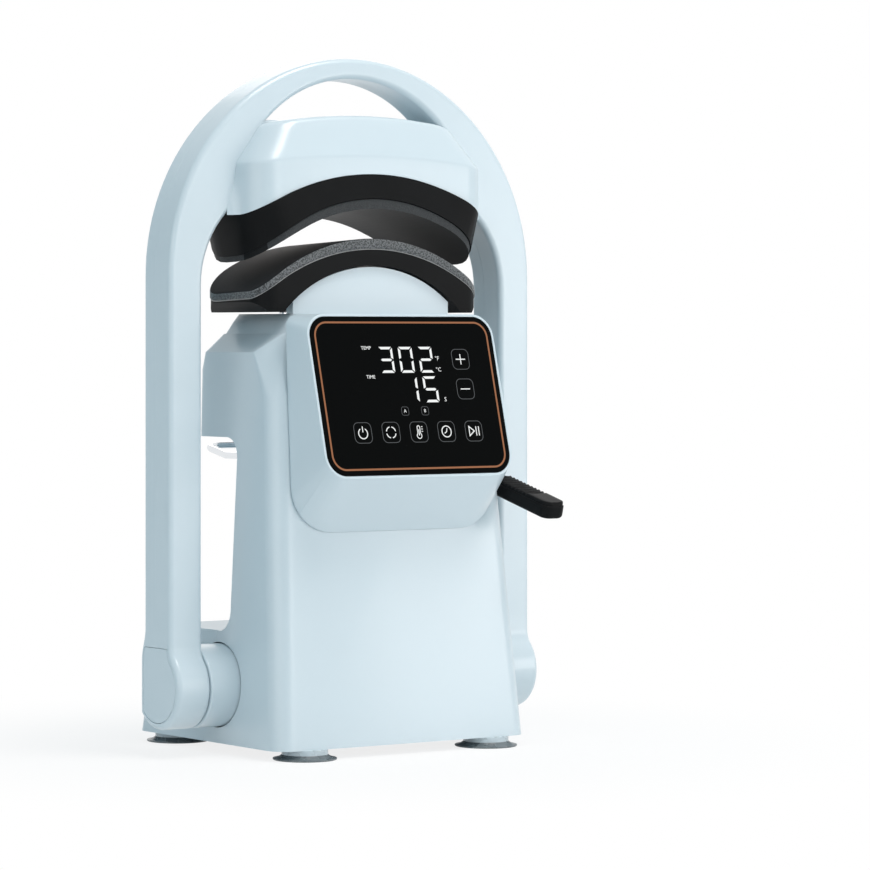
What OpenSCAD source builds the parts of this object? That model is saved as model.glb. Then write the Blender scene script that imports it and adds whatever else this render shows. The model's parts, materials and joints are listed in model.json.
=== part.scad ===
// Bench-top press for the front panel of a cap: a swinging arch carries a curved
// heater over a curved padded platen that a motor lifts, beside a lever hold-down.
// X runs to the right, Y to the back and Z up. Sizes in millimetres.
// Distances called front, back or ahead are measured from the arch's pivot axis.

/* [Arch] */
// Overall width of the arch over its legs
arch_w = 300; // [290:1:320]
// Height of the centre of the arch's round top
arch_centre_z = 322; // [315:1:335]
// Depth of the arch from its front face to its rear face
arch_depth = 34; // [30:1:40]
// Width of one leg, seen from the front
leg_w = 26; // [24:1:30]
// Rounding of the arch's long edges
arch_edge_r = 4; // [2:0.5:5]
// Distance of the arch's parting seam behind the pivot axis
arch_seam = 2; // [0:0.5:6]
// Thickness of the bar over the hand-hold, at its middle
hand_bar = 14; // [11:0.5:18]
// How much smaller the radius of the hand-hold's upper edge is than the arch's
hand_inset = 50; // [46:1:56]
// Height of the hand-hold's flat lower edge
hand_floor_z = 428; // [426:0.5:431]
// Corner radius of the large opening under the head
opening_r = 70; // [60:1:75]
// Height at which the sides of the large opening start to curve in
opening_spring_z = 315; // [310:1:318]
// Height of the pivot axis
pivot_z = 46; // [44:1:50]
// Radius of the pivot hubs
hub_r = 28; // [24:0.5:30]
// Reach of a leg's end behind the pivot axis
leg_bulge = 21.6; // [18:0.2:24]
// Fillet where a leg widens into its hub
hub_fillet = 14; // [8:1:18]
// Height of the seam at the top of the leg's outer cover
leg_cover_z = 74; // [70:0.5:80]
// Thickness of the leg's outer cover
leg_cover_t = 3; // [2:0.5:4]

/* [Head] */
// Width of the head where it meets the arch
head_w = 196; // [186:1:202]
// Width of the head at its top edge
head_top_w = 158; // [150:1:164]
// Distance of the head's front face ahead of the pivot axis
head_front = 41; // [38:0.5:44]
// Distance of the head's top front edge ahead of the pivot axis
head_top_front = 31; // [27:0.5:34]
// Distance of the rear cover's back behind the pivot axis
head_back = 48; // [44:0.5:52]
// Height of the break line between the two front facets, at its ends
head_break_z = 397; // [392:1:402]
// Height of the top edge of the head, at its middle
head_top_z = 432; // [430:0.5:434]
// How much higher the break line and the top edge are at the middle
head_crown = 7; // [3:0.5:9]
// Corner radius of the head in plan
head_corner = 22; // [12:1:24]
// Width of the black heater shroud at its lower edge
shroud_w = 183; // [178:1:188]
// Distance of the shroud's front ahead of the pivot axis
shroud_front = 46; // [44:0.5:48]
// Distance of the shroud's back behind the pivot axis
shroud_back = 52; // [48:0.5:54]
// Corner radius of the shroud in plan, at its lower edge
shroud_corner = 38; // [32:1:42]
// Corner radius of the shroud in plan at the back, at its lower edge
shroud_rear_corner = 50; // [44:1:52]
// Height of the shroud's arched top edge, at its crest
shroud_top_z = 391.5; // [389:0.5:394]
// Radius of the shroud's arched top edge
shroud_top_r = 180; // [170:1:190]
// Height of the groove between shroud and heater plate, at its crest
groove_z = 375; // [373:0.5:377]
// Radius of the groove's arc
groove_r = 132; // [128:1:136]
// Radius of the tubular heating element
element_r = 3.25; // [2.5:0.25:4]

/* [Platen] */
// Width of the padded platen, along the chord of its arc
platen_w = 184; // [182:1:190]
// Depth of the platen
platen_d = 82.5; // [79:0.5:86]
// Distance of the platen's front ahead of the pivot axis
platen_front = 39; // [38:0.5:41]
// Fall of the pressing faces towards the back, in degrees
press_tilt = 2; // [0:0.5:3]
// Corner radius of the platen in plan
platen_corner = 15; // [8:1:24]
// Corner radius of the platen in plan, at the back
platen_rear_corner = 28; // [20:1:32]
// Height of the pad's crest at rest
pad_crest_z = 348; // [346:0.5:350]
// Radius of the pad's arched top, which the heater matches
press_r = 137; // [132:1:142]
// Open space between pad and heater at rest
press_gap = 20; // [19:0.5:24]
// Thickness of the foam pad
pad_t = 7; // [5:0.5:9]
// Height of the pad at its two ends
pad_end_t = 5; // [4:0.5:8]
// Thickness of the platen base at its crest
plate_t = 11; // [9:0.5:13]
// Radius of the arched underside of the platen base
plate_under_r = 101; // [96:1:106]
// Height of the flat underside at the platen's ends
plate_foot_z = 297.6; // [297:0.2:300]
// Upward travel of the platen
lift = 18; // [10:1:18]

/* [Tower] */
// Width of the tower at its bottom edge
base_w = 207; // [200:1:214]
// Width of the tower at the top block
block_w = 180; // [174:1:186]
// Distance of the bottom front edge ahead of the pivot axis
base_front = 78; // [74:1:84]
// Distance of the bottom rear edge behind the pivot axis
base_rear = 100; // [94:1:104]
// Distance of the front face at block height ahead of the pivot axis
block_front = 54.5; // [52:0.5:58]
// Distance of the block's back behind the pivot axis
block_back = 42; // [38:1:46]
// Height of the top of the base behind the column
base_top_z = 82; // [80:0.5:86]
// Distance of the column's back ahead of the pivot axis
column_back = 12; // [8:0.5:14]
// Height of the underside of the block
block_low_z = 213; // [211:0.5:216]
// Height at which the block's chamfer starts
chamfer_z = 270.5; // [268:0.5:272]
// Height of the top of the block
block_top_z = 283; // [281:0.5:285]
// Width of the block's top, inside the chamfer
block_top_w = 152; // [146:1:156]
// Distance of the shell's parting plane behind the pivot axis
shell_seam = 4; // [2:0.5:8]
// Wall thickness of the shells
wall = 2.5; // [2:0.1:3]
// Width of the collar under the platen
neck_w = 130; // [124:1:134]
// Distance of the collar's front wall ahead of the pivot axis
neck_front = 36; // [34:0.5:38]
// Thickness of the collar's front wall
neck_wall = 8; // [5:0.5:10]

/* [Control panel] */
// Width of the touch glass
glass_w = 150; // [140:1:154]
// Height of the touch glass along its slope
glass_h = 109; // [100:1:112]
// Thickness of the touch glass
glass_t = 2; // [1.5:0.25:3]
// Corner radius of the touch glass
glass_corner = 14; // [8:1:18]
// Backward tilt of the touch glass
panel_tilt = 14.6; // [10:0.2:18]
// Distance of the glass's lower edge ahead of the pivot axis
glass_front = 96.4; // [94:0.2:98]
// Height of the glass's lower edge
glass_low_z = 189; // [186:0.5:192]
// Width of the rim round the glass
rim = 2; // [1.5:0.25:3]
// Width of the control housing where it meets the tower
housing_w = 166; // [160:1:170]
// Height of the control housing's lower edge
housing_low_z = 150; // [146:1:156]
// Inset of the light line from the edge of the glass
light_inset = 3.4; // [2.5:0.2:5]
// Width of the light line
light_w = 1.2; // [0.8:0.1:2]

/* [Hold-down] */
// Length of the lever from its pivot to its tip
lever_l = 86; // [78:1:92]
// Width of the lever
lever_w = 19; // [16:0.5:20]
// Thickness of the lever arm
lever_t = 9; // [7:0.5:11]
// Thickness of the ribbed grip on the arm
grip_t = 3; // [2:0.25:4]
// Droop of the lever at rest
lever_droop = 14.6; // [8:0.2:20]
// Distance of the lever's pivot ahead of the arch's pivot axis
shaft_ahead = 24; // [22.5:0.5:26]
// Height of the lever's pivot
shaft_z = 195; // [192:0.5:198]
// Radius of the lever's shaft
shaft_r = 5; // [4:0.5:6]
// Diameter of the bail's rod
rod_d = 5; // [4:0.5:6]
// Width of the bail between the axes of its arms
bail_w = 138; // [136:1:142]
// Distance of the bail's bow behind the arch's pivot axis
bail_back = 70; // [60:1:76]
// Height of the bail's arms above the lever's pivot
bail_up = 4.5; // [3:0.5:5]
// Rise of the bail's bow above its arms
bow_rise = 6; // [4:0.5:8]
// Number of ribs on the grip
grip_ribs = 12; // [6:1:14]

/* [Lift drive] */
// Height of the cam's axis
cam_z = 250; // [248:0.5:252]
// Least radius of the cam
cam_r = 12; // [10:0.5:13]
// Thickness of the cam
cam_t = 8; // [6:0.5:10]
// Radius of the cam's shaft
cam_shaft_r = 4; // [3:0.5:5]
// Distance from the middle to each guide post
post_x = 45; // [42:0.5:48]
// Radius of the guide posts
post_r = 6; // [5:0.5:7]
// Thickness of the chassis plates
sheet = 3; // [2:0.25:4]
// Radius of the lift motor
motor_r = 15.5; // [14:0.5:18]

/* [Feet] */
// Radius of the suction cups at the bench
foot_r = 21.5; // [18:0.5:23]
// Radius of the suction cups where they meet the base
foot_neck_r = 15.5; // [12:0.5:17]
// Height of the suction cups
foot_h = 7; // [6:0.5:9]
// Distance of the front feet's centres in from the base's sides
foot_front_side = 28.5; // [22:0.5:40]
// Distance of the front feet's centres back from the base's front edge
foot_front_edge = 12; // [8:0.5:24]
// Distance of the rear feet's centres in from the base's sides
foot_rear_side = 21.5; // [20:0.5:40]
// Distance of the rear feet's centres ahead of the base's rear edge
foot_rear_edge = 18; // [16:0.5:30]

/* [Hidden] */
$fn = 64;

// Clearances: a running fit, a loose gap between moving faces, and a small step for clean cuts
fit = 0.05;
gap = 0.4;
eps = 1;

// Colours of the finishes
blue = "#cfe3ee";
black = "#1d1e20";
steel = "#b8bcc0";
chrome = "#e4e7ea";

// The model's origin is under the middle of its depth, between lever tip and rear edge
lever_drop = 6;
foot_front_x = base_w / 2 - foot_front_side;
foot_front_y = base_front - foot_front_edge;
foot_rear_x = base_w / 2 - foot_rear_side;
foot_rear_y = base_rear - foot_rear_edge;
front_reach = shaft_ahead + lever_l * cos(lever_droop) - lever_drop * sin(lever_droop);
rear_reach = max(base_rear, foot_rear_y + foot_r);
axis_y = (front_reach - rear_reach) / 2;

arch_r = arch_w / 2;
leg_in = arch_r - leg_w;
arch_half = arch_depth / 2;
base_z = foot_h;
pan_t = 3;
pan_top_z = base_z + pan_t;

hand_r = arch_r - hand_inset;
hand_centre_z = arch_centre_z + arch_r - hand_bar - hand_r;

// Tower: its width at a height, its leaning front face and the collar's top
break_z = 240;
function tower_w(z) = base_w + (block_w - base_w) * (z - base_z) / (chamfer_z - base_z);
function front_at(z) = base_front - (base_front - block_front) * (z - base_z) / (break_z - base_z);
front_lean = atan((base_front - block_front) / (break_z - base_z));
tower_corner = 14;
corner_ahead = 29;
top_ahead = 45;
rear_slope_z = base_top_z - 8;
rear_slope = 12;
edge_drop = 4;
notch_r = 14;
collar_top_z = plate_foot_z - 1.1;
hub_hole_r = hub_r + 0.8;
column_in = column_back + wall;

// Arcs of the press: centres of the pad's top, the platen's underside, the heater and the shroud
pad_c = pad_crest_z - press_r;
pad_half = platen_w / 2;
pad_low_z = pad_crest_z - pad_t;
pad_fall = pad_low_z - (pad_c + sqrt(pow(press_r, 2) - pow(pad_half, 2)) - pad_end_t);
pad_under_r = (pow(pad_half, 2) + pow(pad_fall, 2)) / (2 * pad_fall);
pad_under_c = pad_low_z - pad_under_r;
plate_r = pad_under_r - gap;
under_z = pad_crest_z - pad_t - gap - plate_t;
under_c = under_z - plate_under_r;
heater_c = pad_c + press_gap;
groove_c = groove_z - groove_r;
shroud_c = shroud_top_z - shroud_top_r;
shroud_wall = 3;
seat = 0.15;

// Pivot: pin, bush, bracket and the sockets inside the legs
pin_r = 9;
bush_r = 12;
bracket_out = tower_w(pivot_z) / 2 - wall - 5;
bracket_x = [bracket_out - 10, bracket_out];
bracket_half = 20;
hub_end = bracket_x[1] + 3;
pin_end = bracket_x[0] - 6;
spigot_r = 12;
spigot_end = leg_in + 16;
hub_screw_r = 4;
core_seat = 0.3;
core_t = 24;

// Lift drive: follower, posts, chassis
tip_r = 3;
tip_gap = 0.7;
tip_z = cam_z + cam_r + tip_gap;
stem_r = 7;
stem_top_z = under_z - 11;
post_top_z = under_z - 19;
post_low_z = block_low_z + wall + 6;
deck_z = 266;
deck_top_z = deck_z + sheet;
chassis_half = 58;
chassis_back = 30;
chassis_ahead = 42;
column_ahead = 48;
sleeve_r = post_r + 2.5;
motor_face = 14;
motor_back = 42;

// Hold-down: bushes, collars, hub and bail
shaft_bush_r = shaft_r + 1.5;
collar_r = shaft_bush_r + 2;
collar_w = 10;
lever_gap = 3.1;
lever_in = tower_w(shaft_z) / 2 + lever_gap;
lever_x = [lever_in, lever_in + lever_w];
lever_hub_r = 14;
shaft_left = bail_w / 2 + collar_w / 2 + 4;
bail_bend = 14;
bend_start = 40;
bail_z = shaft_z + bail_up;

function at(v) = axis_y + v;

// A shape drawn in X and Z, carried along Y
module along_y(y0, y1) translate([0, at(y1), 0]) rotate([90, 0, 0]) linear_extrude(y1 - y0) children();

// A shape drawn in Y and Z, carried along X
module along_x(x0, x1) translate([x0, axis_y, 0]) rotate([90, 0, 90]) linear_extrude(x1 - x0) children();

// Rods along the three axes
module rod_x(x0, x1, y, z, r) translate([x0, at(y), z]) rotate([0, 90, 0]) cylinder(h = x1 - x0, r = r);
module rod_y(y0, y1, x, z, r) translate([x, at(y1), z]) rotate([90, 0, 0]) cylinder(h = y1 - y0, r = r);
module rod_z(z0, z1, x, y, r) translate([x, at(y), z0]) cylinder(h = z1 - z0, r = r);

// A box between two corners
module box(x, y, z) translate([x[0], at(y[0]), z[0]]) cube([x[1] - x[0], y[1] - y[0], z[1] - z[0]]);

// Everything ahead of or behind a plane across the depth
big = 400;
module ahead_of(y) box([-big, big], [-big, y], [-big, 2 * big]);
module behind(y) box([-big, big], [y, big], [-big, 2 * big]);

// The right-hand half as drawn, or mirrored to the left
module side(s) mirror([s < 0 ? 1 : 0, 0, 0]) children();
module both() for (s = [-1, 1]) side(s) children();

// A rectangle with round corners
module round_rect(w, h, r) {
    square([w - 2 * r, h], center = true);
    square([w, h - 2 * r], center = true);
    for (x = [-1, 1], y = [-1, 1]) translate([x * (w / 2 - r), y * (h / 2 - r)]) circle(r);
}

// A round-cornered plan between two heights
module plan(w, front, back, z, r) {
    translate([0, at((back - front) / 2), z[0]])
        linear_extrude(z[1] - z[0]) round_rect(w, front + back, r);
}

// A thin round-cornered plate under a height, for lofting
skin = 0.01;
module slice(w, front, back, z, r) plan(w, front, back, [z - skin, z], max(r, 1), $fn = 32);

// Tower shells

module tower_form(inset) {
    low = inset > 0 ? base_z - eps : base_z + skin;
    top = inset > 0 ? block_top_z + eps : block_top_z;
    hull() {
        slice(base_w - 2 * inset, base_front - inset, 30, low, tower_corner - inset);
        slice(tower_w(break_z) - 2 * inset, block_front - inset, 30, break_z, tower_corner - inset);
        slice(block_w - 2 * inset, corner_ahead - inset, 30, chamfer_z - inset / 2, 4 - inset);
        slice(block_top_w - 2 * inset, top_ahead - inset, 30, top, 6 - inset);
    }
}

module notch() {
    h = block_low_z - base_top_z;
    along_x(-big, big) translate([big / 2 - column_back, base_top_z + h / 2]) round_rect(big, h, notch_r);
}

// Holes in the shells' sides that the pivot hubs run in
module hub_holes() both() rod_x(bracket_x[1] + eps, base_w / 2 + 5, 0, pivot_z, hub_hole_r);

// Screw bosses inside the shells' lower edges
boss_r = 6;
boss_x = base_w / 2 - 9;
boss_top_z = pan_top_z + 20;
boss_ys = [-52, 60];
screw_r = 1.7;
module boss(y) both() rod_z(pan_top_z, boss_top_z, boss_x, y, boss_r);
module boss_holes() for (y = boss_ys) both() rod_z(base_z - eps, boss_top_z - 3, boss_x, y, screw_r + fit);

module front_shell() color(blue) difference() {
    union() {
        difference() {
            intersection() {
                tower_form(0);
                ahead_of(shell_seam);
            }
            intersection() {
                tower_form(wall);
                union() {
                    ahead_of(-column_in);
                    box([-big, big], [-big, big], [-big, base_top_z - wall]);
                    box([-big, big], [-big, big], [block_low_z + wall, 2 * big]);
                }
            }
        }
        intersection() {
            boss(boss_ys[0]);
            tower_form(0);
        }
    }
    notch();
    hub_holes();
    boss_holes();
    bail_slots();
    rod_x(base_w / 4, base_w, -shaft_ahead, shaft_z, shaft_bush_r + 1);
    box([-30, 30], [-base_front, -column_ahead], [205, 235]);
}

// Slots in the column's back that the bail's arms swing in
slot_side = rod_d / 2 + 1.5;
module bail_slots() both() box([bail_w / 2 - slot_side, bail_w / 2 + slot_side],
    [-column_in - eps, -column_back + eps], [shaft_z - 24, bail_z + slot_side]);

module base_rear_form(inset) {
    low = inset > 0 ? base_z - eps : base_z + skin;
    slope_back = base_rear - rear_slope - inset;
    hull() {
        slice(base_w - 2 * inset, 20, base_rear - inset, low, 8 - inset);
        slice(tower_w(rear_slope_z) - 2 * inset, 20, slope_back, rear_slope_z, 8 - inset);
        slice(tower_w(base_top_z) - 2 * edge_drop - 2 * inset, 20, slope_back - 6, base_top_z - inset, 6 - inset);
    }
}

// Recess for the power inlet in the base's back
inlet_x = 52;
inlet_z = 40;
inlet_size = [28, 20];
inlet_back = base_rear - 12;
module inlet_cut(grow) translate([inlet_x, at(big / 2 + 60), inlet_z])
    cube([inlet_size[0] + grow, big, inlet_size[1] + grow], center = true);

module base_rear_shell() color(blue) difference() {
    union() {
        difference() {
            intersection() {
                base_rear_form(0);
                behind(shell_seam);
            }
            base_rear_form(wall);
        }
        intersection() {
            boss(boss_ys[1]);
            base_rear_form(0);
        }
    }
    hub_holes();
    boss_holes();
    intersection() {
        inlet_cut(0.4);
        behind(base_rear - 40);
    }
}

module block_rear_form(inset) {
    low = inset > 0 ? block_low_z + wall : block_low_z + skin;
    top = inset > 0 ? block_top_z + eps : block_top_z;
    hull() {
        slice(tower_w(block_low_z) - 2 * inset, 20, block_back - 2 - inset, low, 8 - inset);
        slice(tower_w(chamfer_z - 12) - 2 * inset, 20, block_back - inset, chamfer_z - 12, 8 - inset);
        slice(block_w - 2 * inset, 20, block_back - 3 - inset, chamfer_z - inset / 2, 8 - inset);
        slice(block_top_w - 2 * inset, 20, block_back - 6 - inset, top, 6 - inset);
    }
}

module block_rear_shell() color(blue) difference() {
    intersection() {
        block_rear_form(0);
        behind(shell_seam);
    }
    block_rear_form(wall);
}

// Collar: sloping shoulder, and a front wall that follows the platen's arch
collar_hole_ahead = neck_front - neck_wall;
module platen_collar() color(blue) {
    difference() {
        hull() {
            slice(block_top_w - 2, top_ahead - 1, block_back - 7, block_top_z + skin, 6);
            slice(neck_w + 9, top_ahead - 2, block_back - 7.5, block_top_z + 8, 6);
            slice(neck_w, top_ahead - 3, block_back - 8, collar_top_z, 6);
        }
        box([-neck_w / 2 + 5, neck_w / 2 - 5], [-collar_hole_ahead, block_back - 12], [block_top_z - eps, big]);
    }
    along_y(-neck_front, -collar_hole_ahead) intersection() {
        translate([0, under_c]) circle(plate_under_r - 1);
        translate([-neck_w / 2 + 0.5, collar_top_z - 2]) square([neck_w - 1, big]);
    }
}

module base_pan() color("#9fb4c0") {
    clear = wall + 0.9;
    difference() {
        plan(base_w - 2 * clear, base_front - clear, base_rear - clear, [base_z, pan_top_z], tower_corner - wall);
        boss_holes();
        foot_holes();
    }
}

// Heads sit in the pan's underside
module base_screws() color(steel) for (y = boss_ys) both() rod_z(base_z, boss_top_z - 5, boss_x, y, screw_r);

// Control panel

// Frame of the glass: its lower edge, with Y up the slope and Z out of the face
module panel_frame() {
    translate([0, at(-glass_front), glass_low_z]) rotate([90 - panel_tilt, 0, 0]) translate([0, glass_h / 2, 0]) children();
}

// Frame of the tower's front face at the housing's lower edge
module face_frame() {
    translate([0, at(-front_at(housing_low_z)) - gap, housing_low_z]) rotate([90 - front_lean, 0, 0]) children();
}

glass_proud = 0.3;
lip_t = 2.7;
housing_h = glass_low_z + glass_h * cos(panel_tilt) + rim - housing_low_z;
low_corner = 30;
high_corner = 8;

module housing_outline(inset) for (s = [-1, 1]) {
    translate([s * (housing_w / 2 - low_corner), low_corner]) circle(low_corner - inset);
    translate([s * (housing_w / 2 - 3 - high_corner), housing_h - high_corner]) circle(high_corner - inset);
}

module housing_form(inset) hull() {
    panel_frame() translate([0, 0, -glass_proud - lip_t - (inset > 0 ? wall : 0)]) linear_extrude(lip_t)
        round_rect(glass_w + 2 * rim - 2 * inset, glass_h + 2 * rim - 2 * inset, glass_corner + rim - inset, $fn = 32);
    face_frame() translate([0, 0, inset > 0 ? -eps : 0]) linear_extrude(2) housing_outline(inset, $fn = 32);
}

module control_housing() color(blue) difference() {
    housing_form(0);
    housing_form(wall);
    panel_frame() translate([0, 0, -glass_t]) linear_extrude(5) round_rect(glass_w + 0.3, glass_h + 0.3, glass_corner + 0.15);
    panel_frame() translate([0, 0, -10]) linear_extrude(10) square([glass_w - 40, glass_h - 35], center = true);
}

module light_ring(t) linear_extrude(t) difference() {
    round_rect(glass_w - 2 * light_inset, glass_h - 2 * light_inset, glass_corner - light_inset);
    round_rect(glass_w - 2 * light_inset - 2 * light_w, glass_h - 2 * light_inset - 2 * light_w,
        glass_corner - light_inset - light_w);
}

module panel_glass() color(black) panel_frame() difference() {
    translate([0, 0, -glass_t]) linear_extrude(glass_t) round_rect(glass_w, glass_h, glass_corner);
    translate([0, 0, -0.4]) light_ring(1);
}

module light_line() color("#c9743f") panel_frame() translate([0, 0, -0.4]) light_ring(0.4);

// Board with the display, keys and a row of drivers, standing on the back of the glass
module display_board() color("#1f5d3a") panel_frame() {
    translate([0, 0, -6.2]) cube([glass_w - 48, glass_h - 43, 1.6], center = true);
    translate([-22, -8, -5.4]) cube([44, 36, 3.4 - fit]);
    for (x = [-40, -20, 0, 20, 40]) translate([x, -24, -5.4]) cylinder(h = 3.4 - fit, r = 6);
    for (x = [-30, 0, 30]) translate([x - 4, 8, -9]) cube([8, 8, 2]);
}

// Boards, inlet and feet

module power_board() color("#2a6b45") {
    half = chassis_half - 20;
    box([-half, half], [-30, 70], [pan_top_z + 5, pan_top_z + 6.6]);
    box([-30, 4], [20, 58], [pan_top_z + 6.6, pan_top_z + 34]);
    box([12, 30], [-20, 4], [pan_top_z + 6.6, pan_top_z + 24]);
    for (x = [-16, 0]) rod_z(pan_top_z + 6.6, pan_top_z + 30, x, -12, 7);
    for (x = [5 - half, half - 5], y = [-25, 65]) rod_z(pan_top_z, pan_top_z + 5, x, y, 3);
}

socket = [24, 16];
module power_inlet() color(black) {
    z = [inlet_z - inlet_size[1] / 2, inlet_z + inlet_size[1] / 2];
    x = [inlet_x - inlet_size[0] / 2, inlet_x + inlet_size[0] / 2];
    difference() {
        union() {
            box(x, [base_rear - 32, inlet_back + 3], z);
            box([x[0] - 5, x[1] + 5], [base_rear - 26, inlet_back - 4.5], [pan_top_z, z[1]]);
        }
        translate([inlet_x, at(inlet_back), inlet_z]) cube([socket[0], 28, socket[1]], center = true);
    }
    for (x = [-7, 0, 7]) translate([inlet_x + x, at(inlet_back - 10), inlet_z + (x == 0 ? 1 : -3)])
        cube([2, 10, 4], center = true);
}

foot_screw_r = 2;
function foot_places() = [[-foot_front_x, -foot_front_y], [foot_front_x, -foot_front_y],
    [-foot_rear_x, foot_rear_y], [foot_rear_x, foot_rear_y]];
module foot_holes() for (p = foot_places()) rod_z(foot_h / 2, pan_top_z + eps, p[0], p[1], foot_screw_r + fit);

// Suction foot: a wide hollow lip under a short neck
module foot(i) color("#c4cacd") difference() {
    translate([foot_places()[i][0], at(foot_places()[i][1]), 0]) rotate_extrude() polygon([
        [0, 2.2], [foot_r - 3, 0.3], [foot_r - 2.4, 0], [foot_r, 0], [foot_r, 0.9],
        [foot_neck_r + 1, 2.6], [foot_neck_r, 3.6], [foot_neck_r, foot_h], [0, foot_h]]);
    foot_holes();
}
module foot_front_left() foot(0);
module foot_front_right() foot(1);
module foot_rear_left() foot(2);
module foot_rear_right() foot(3);

module foot_screws() color(steel) for (p = foot_places()) {
    rod_z(foot_h / 2 + 0.5, pan_top_z + eps, p[0], p[1], foot_screw_r);
    rod_z(pan_top_z, pan_top_z + 2.5, p[0], p[1], 4);
}

// Chassis and lift drive

foot_rise = 0.5;
module chassis_side() polygon([[-column_ahead, pan_top_z + foot_rise], [-column_in - 1.5, pan_top_z + foot_rise],
    [-column_in - 1.5, block_low_z + wall + 2], [chassis_back, block_low_z + wall + 2], [chassis_back, deck_z + eps],
    [-chassis_ahead, deck_z + eps], [-chassis_ahead, break_z - 15], [-column_ahead, break_z - 25]]);

motor_screw_ring = motor_r - 4;
motor_screw_r = 1.5;
module motor_holes() for (a = [45 : 90 : 315])
    rod_y(-motor_face - 7, -motor_face + sheet + eps, motor_screw_ring * cos(a), cam_z + motor_screw_ring * sin(a), motor_screw_r + fit);

module chassis() color(steel) difference() {
    union() {
        both() {
            along_x(chassis_half - sheet, chassis_half) chassis_side();
            rod_x(chassis_half - sheet, chassis_half, -shaft_ahead, shaft_z, shaft_bush_r + 1.8);
            box([chassis_half - 16, chassis_half - eps], [-column_ahead + 1, -column_in - 2.5], [pan_top_z, pan_top_z + sheet]);
        }
        box([-chassis_half - 0.5, chassis_half + 0.5], [-chassis_ahead - 0.5, chassis_back + 0.5], [deck_z, deck_top_z]);
        for (y = [-motor_face, 9]) box([-chassis_half + eps, chassis_half - eps], [y, y + sheet], [222, deck_z + eps]);
    }
    both() rod_z(deck_z - eps, deck_top_z + eps, post_x, 0, sleeve_r + fit);
    box([-cam_r - lift - 3, cam_r + lift + 3], [-stem_r - 1.8, stem_r + 1.8], [deck_z - eps, deck_top_z + eps]);
    for (y = [-motor_face, 9]) rod_y(y - eps, y + sheet + eps, 0, cam_z, cam_shaft_r + fit);
    motor_holes();
    both() rod_x(chassis_half - sheet - eps, chassis_half + eps, -shaft_ahead, shaft_z, shaft_bush_r + fit);
}

module guide_bush() color("#b58a4a") difference() {
    union() {
        rod_z(deck_z - 14, deck_top_z + eps, post_x, 0, sleeve_r);
        rod_z(deck_top_z, deck_top_z + 2.5, post_x, 0, sleeve_r + 2.5);
    }
    rod_z(deck_z - 20, deck_top_z + 5, post_x, 0, post_r + fit);
}
module guide_bush_left() side(-1) guide_bush();
module guide_bush_right() guide_bush();

module gear_motor() color("#3a3d40") difference() {
    union() {
        rod_y(-motor_back, -motor_face, 0, cam_z, motor_r);
        box([-6, 6], [-motor_back + 2, -motor_back + 14], [cam_z - motor_r - 5, cam_z]);
    }
    rod_y(-motor_face - 11, -motor_face + eps, 0, cam_z, cam_shaft_r + fit);
    motor_holes();
}

module motor_screws() color(steel) for (a = [45 : 90 : 315]) {
    x = motor_screw_ring * cos(a);
    z = cam_z + motor_screw_ring * sin(a);
    rod_y(-motor_face - 6, -motor_face + sheet + 0.5, x, z, motor_screw_r);
    rod_y(-motor_face + sheet, -motor_face + sheet + 1.6, x, z, 2.6);
}

module cam_shaft() color(steel) rod_y(-motor_face - 10, 9 + sheet + 1, 0, cam_z, cam_shaft_r);

// Heart-shaped cam: an even rise over half a turn each way
function cam_at(a) = cam_r + lift * abs(a) / 180;
module lift_cam() color("#d8d4c4") difference() {
    along_y(-cam_t / 2, cam_t / 2) translate([0, cam_z])
        polygon([for (a = [-180 : 5 : 175]) [cam_at(a) * sin(a), cam_at(a) * cos(a)]]);
    rod_y(-cam_t, cam_t, 0, cam_z, cam_shaft_r + 0.02);
}

// Round tip, stem and the flange under the platen
module cam_follower() color(steel) {
    rod_y(-cam_t / 2, cam_t / 2, 0, tip_z + tip_r, tip_r);
    box([-tip_r, tip_r], [-cam_t / 2, cam_t / 2], [tip_z + tip_r, deck_z + 6]);
    rod_z(deck_top_z + 0.5, stem_top_z, 0, 0, stem_r);
}

module guide_post() color(chrome) rod_z(post_low_z, post_top_z, post_x, 0, post_r);
module guide_post_left() side(-1) guide_post();
module guide_post_right() guide_post();

// Rounds along the platen: one level, one falling with the pressing faces
module level_disc(c, r) rod_y(-big, big, 0, c, r);
module pressed() translate([0, at(-platen_front), pad_crest_z]) rotate([-press_tilt, 0, 0])
    translate([0, -at(-platen_front), -pad_crest_z]) children();
module press_disc(c, r) pressed() level_disc(c, r);

end_chamfer = [9, 7.5];
platen_back = platen_d - platen_front;
module platen_plan(grow, z) intersection() {
    plan(platen_w + 2 * grow, platen_front + grow, 2 * platen_d, [z, big], platen_corner);
    plan(platen_w + 2 * grow, 2 * platen_d, platen_back + grow, [z, big], platen_rear_corner);
}
module platen_base() color("#2b2c2e") {
    difference() {
        intersection() {
            platen_plan(0, plate_foot_z);
            press_disc(pad_under_c, plate_r);
        }
        level_disc(under_c, plate_under_r);
        both() along_y(-platen_d, platen_d) polygon([[platen_w / 2 - end_chamfer[0], plate_foot_z - eps],
            [platen_w / 2 + eps, plate_foot_z - eps], [platen_w / 2 + eps, plate_foot_z + end_chamfer[1]]]);
    }
    intersection() {
        union() {
            rod_z(stem_top_z, big, 0, 0, stem_r + 4);
            both() rod_z(post_top_z, big, post_x, 0, post_r + 3);
        }
        press_disc(pad_under_c, plate_r - 4);
    }
}

module foam_pad() color("#2a2b2d") intersection() {
    platen_plan(0.5, 290);
    difference() {
        press_disc(pad_c, press_r);
        press_disc(pad_under_c, pad_under_r);
    }
}

// Pivots

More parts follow.
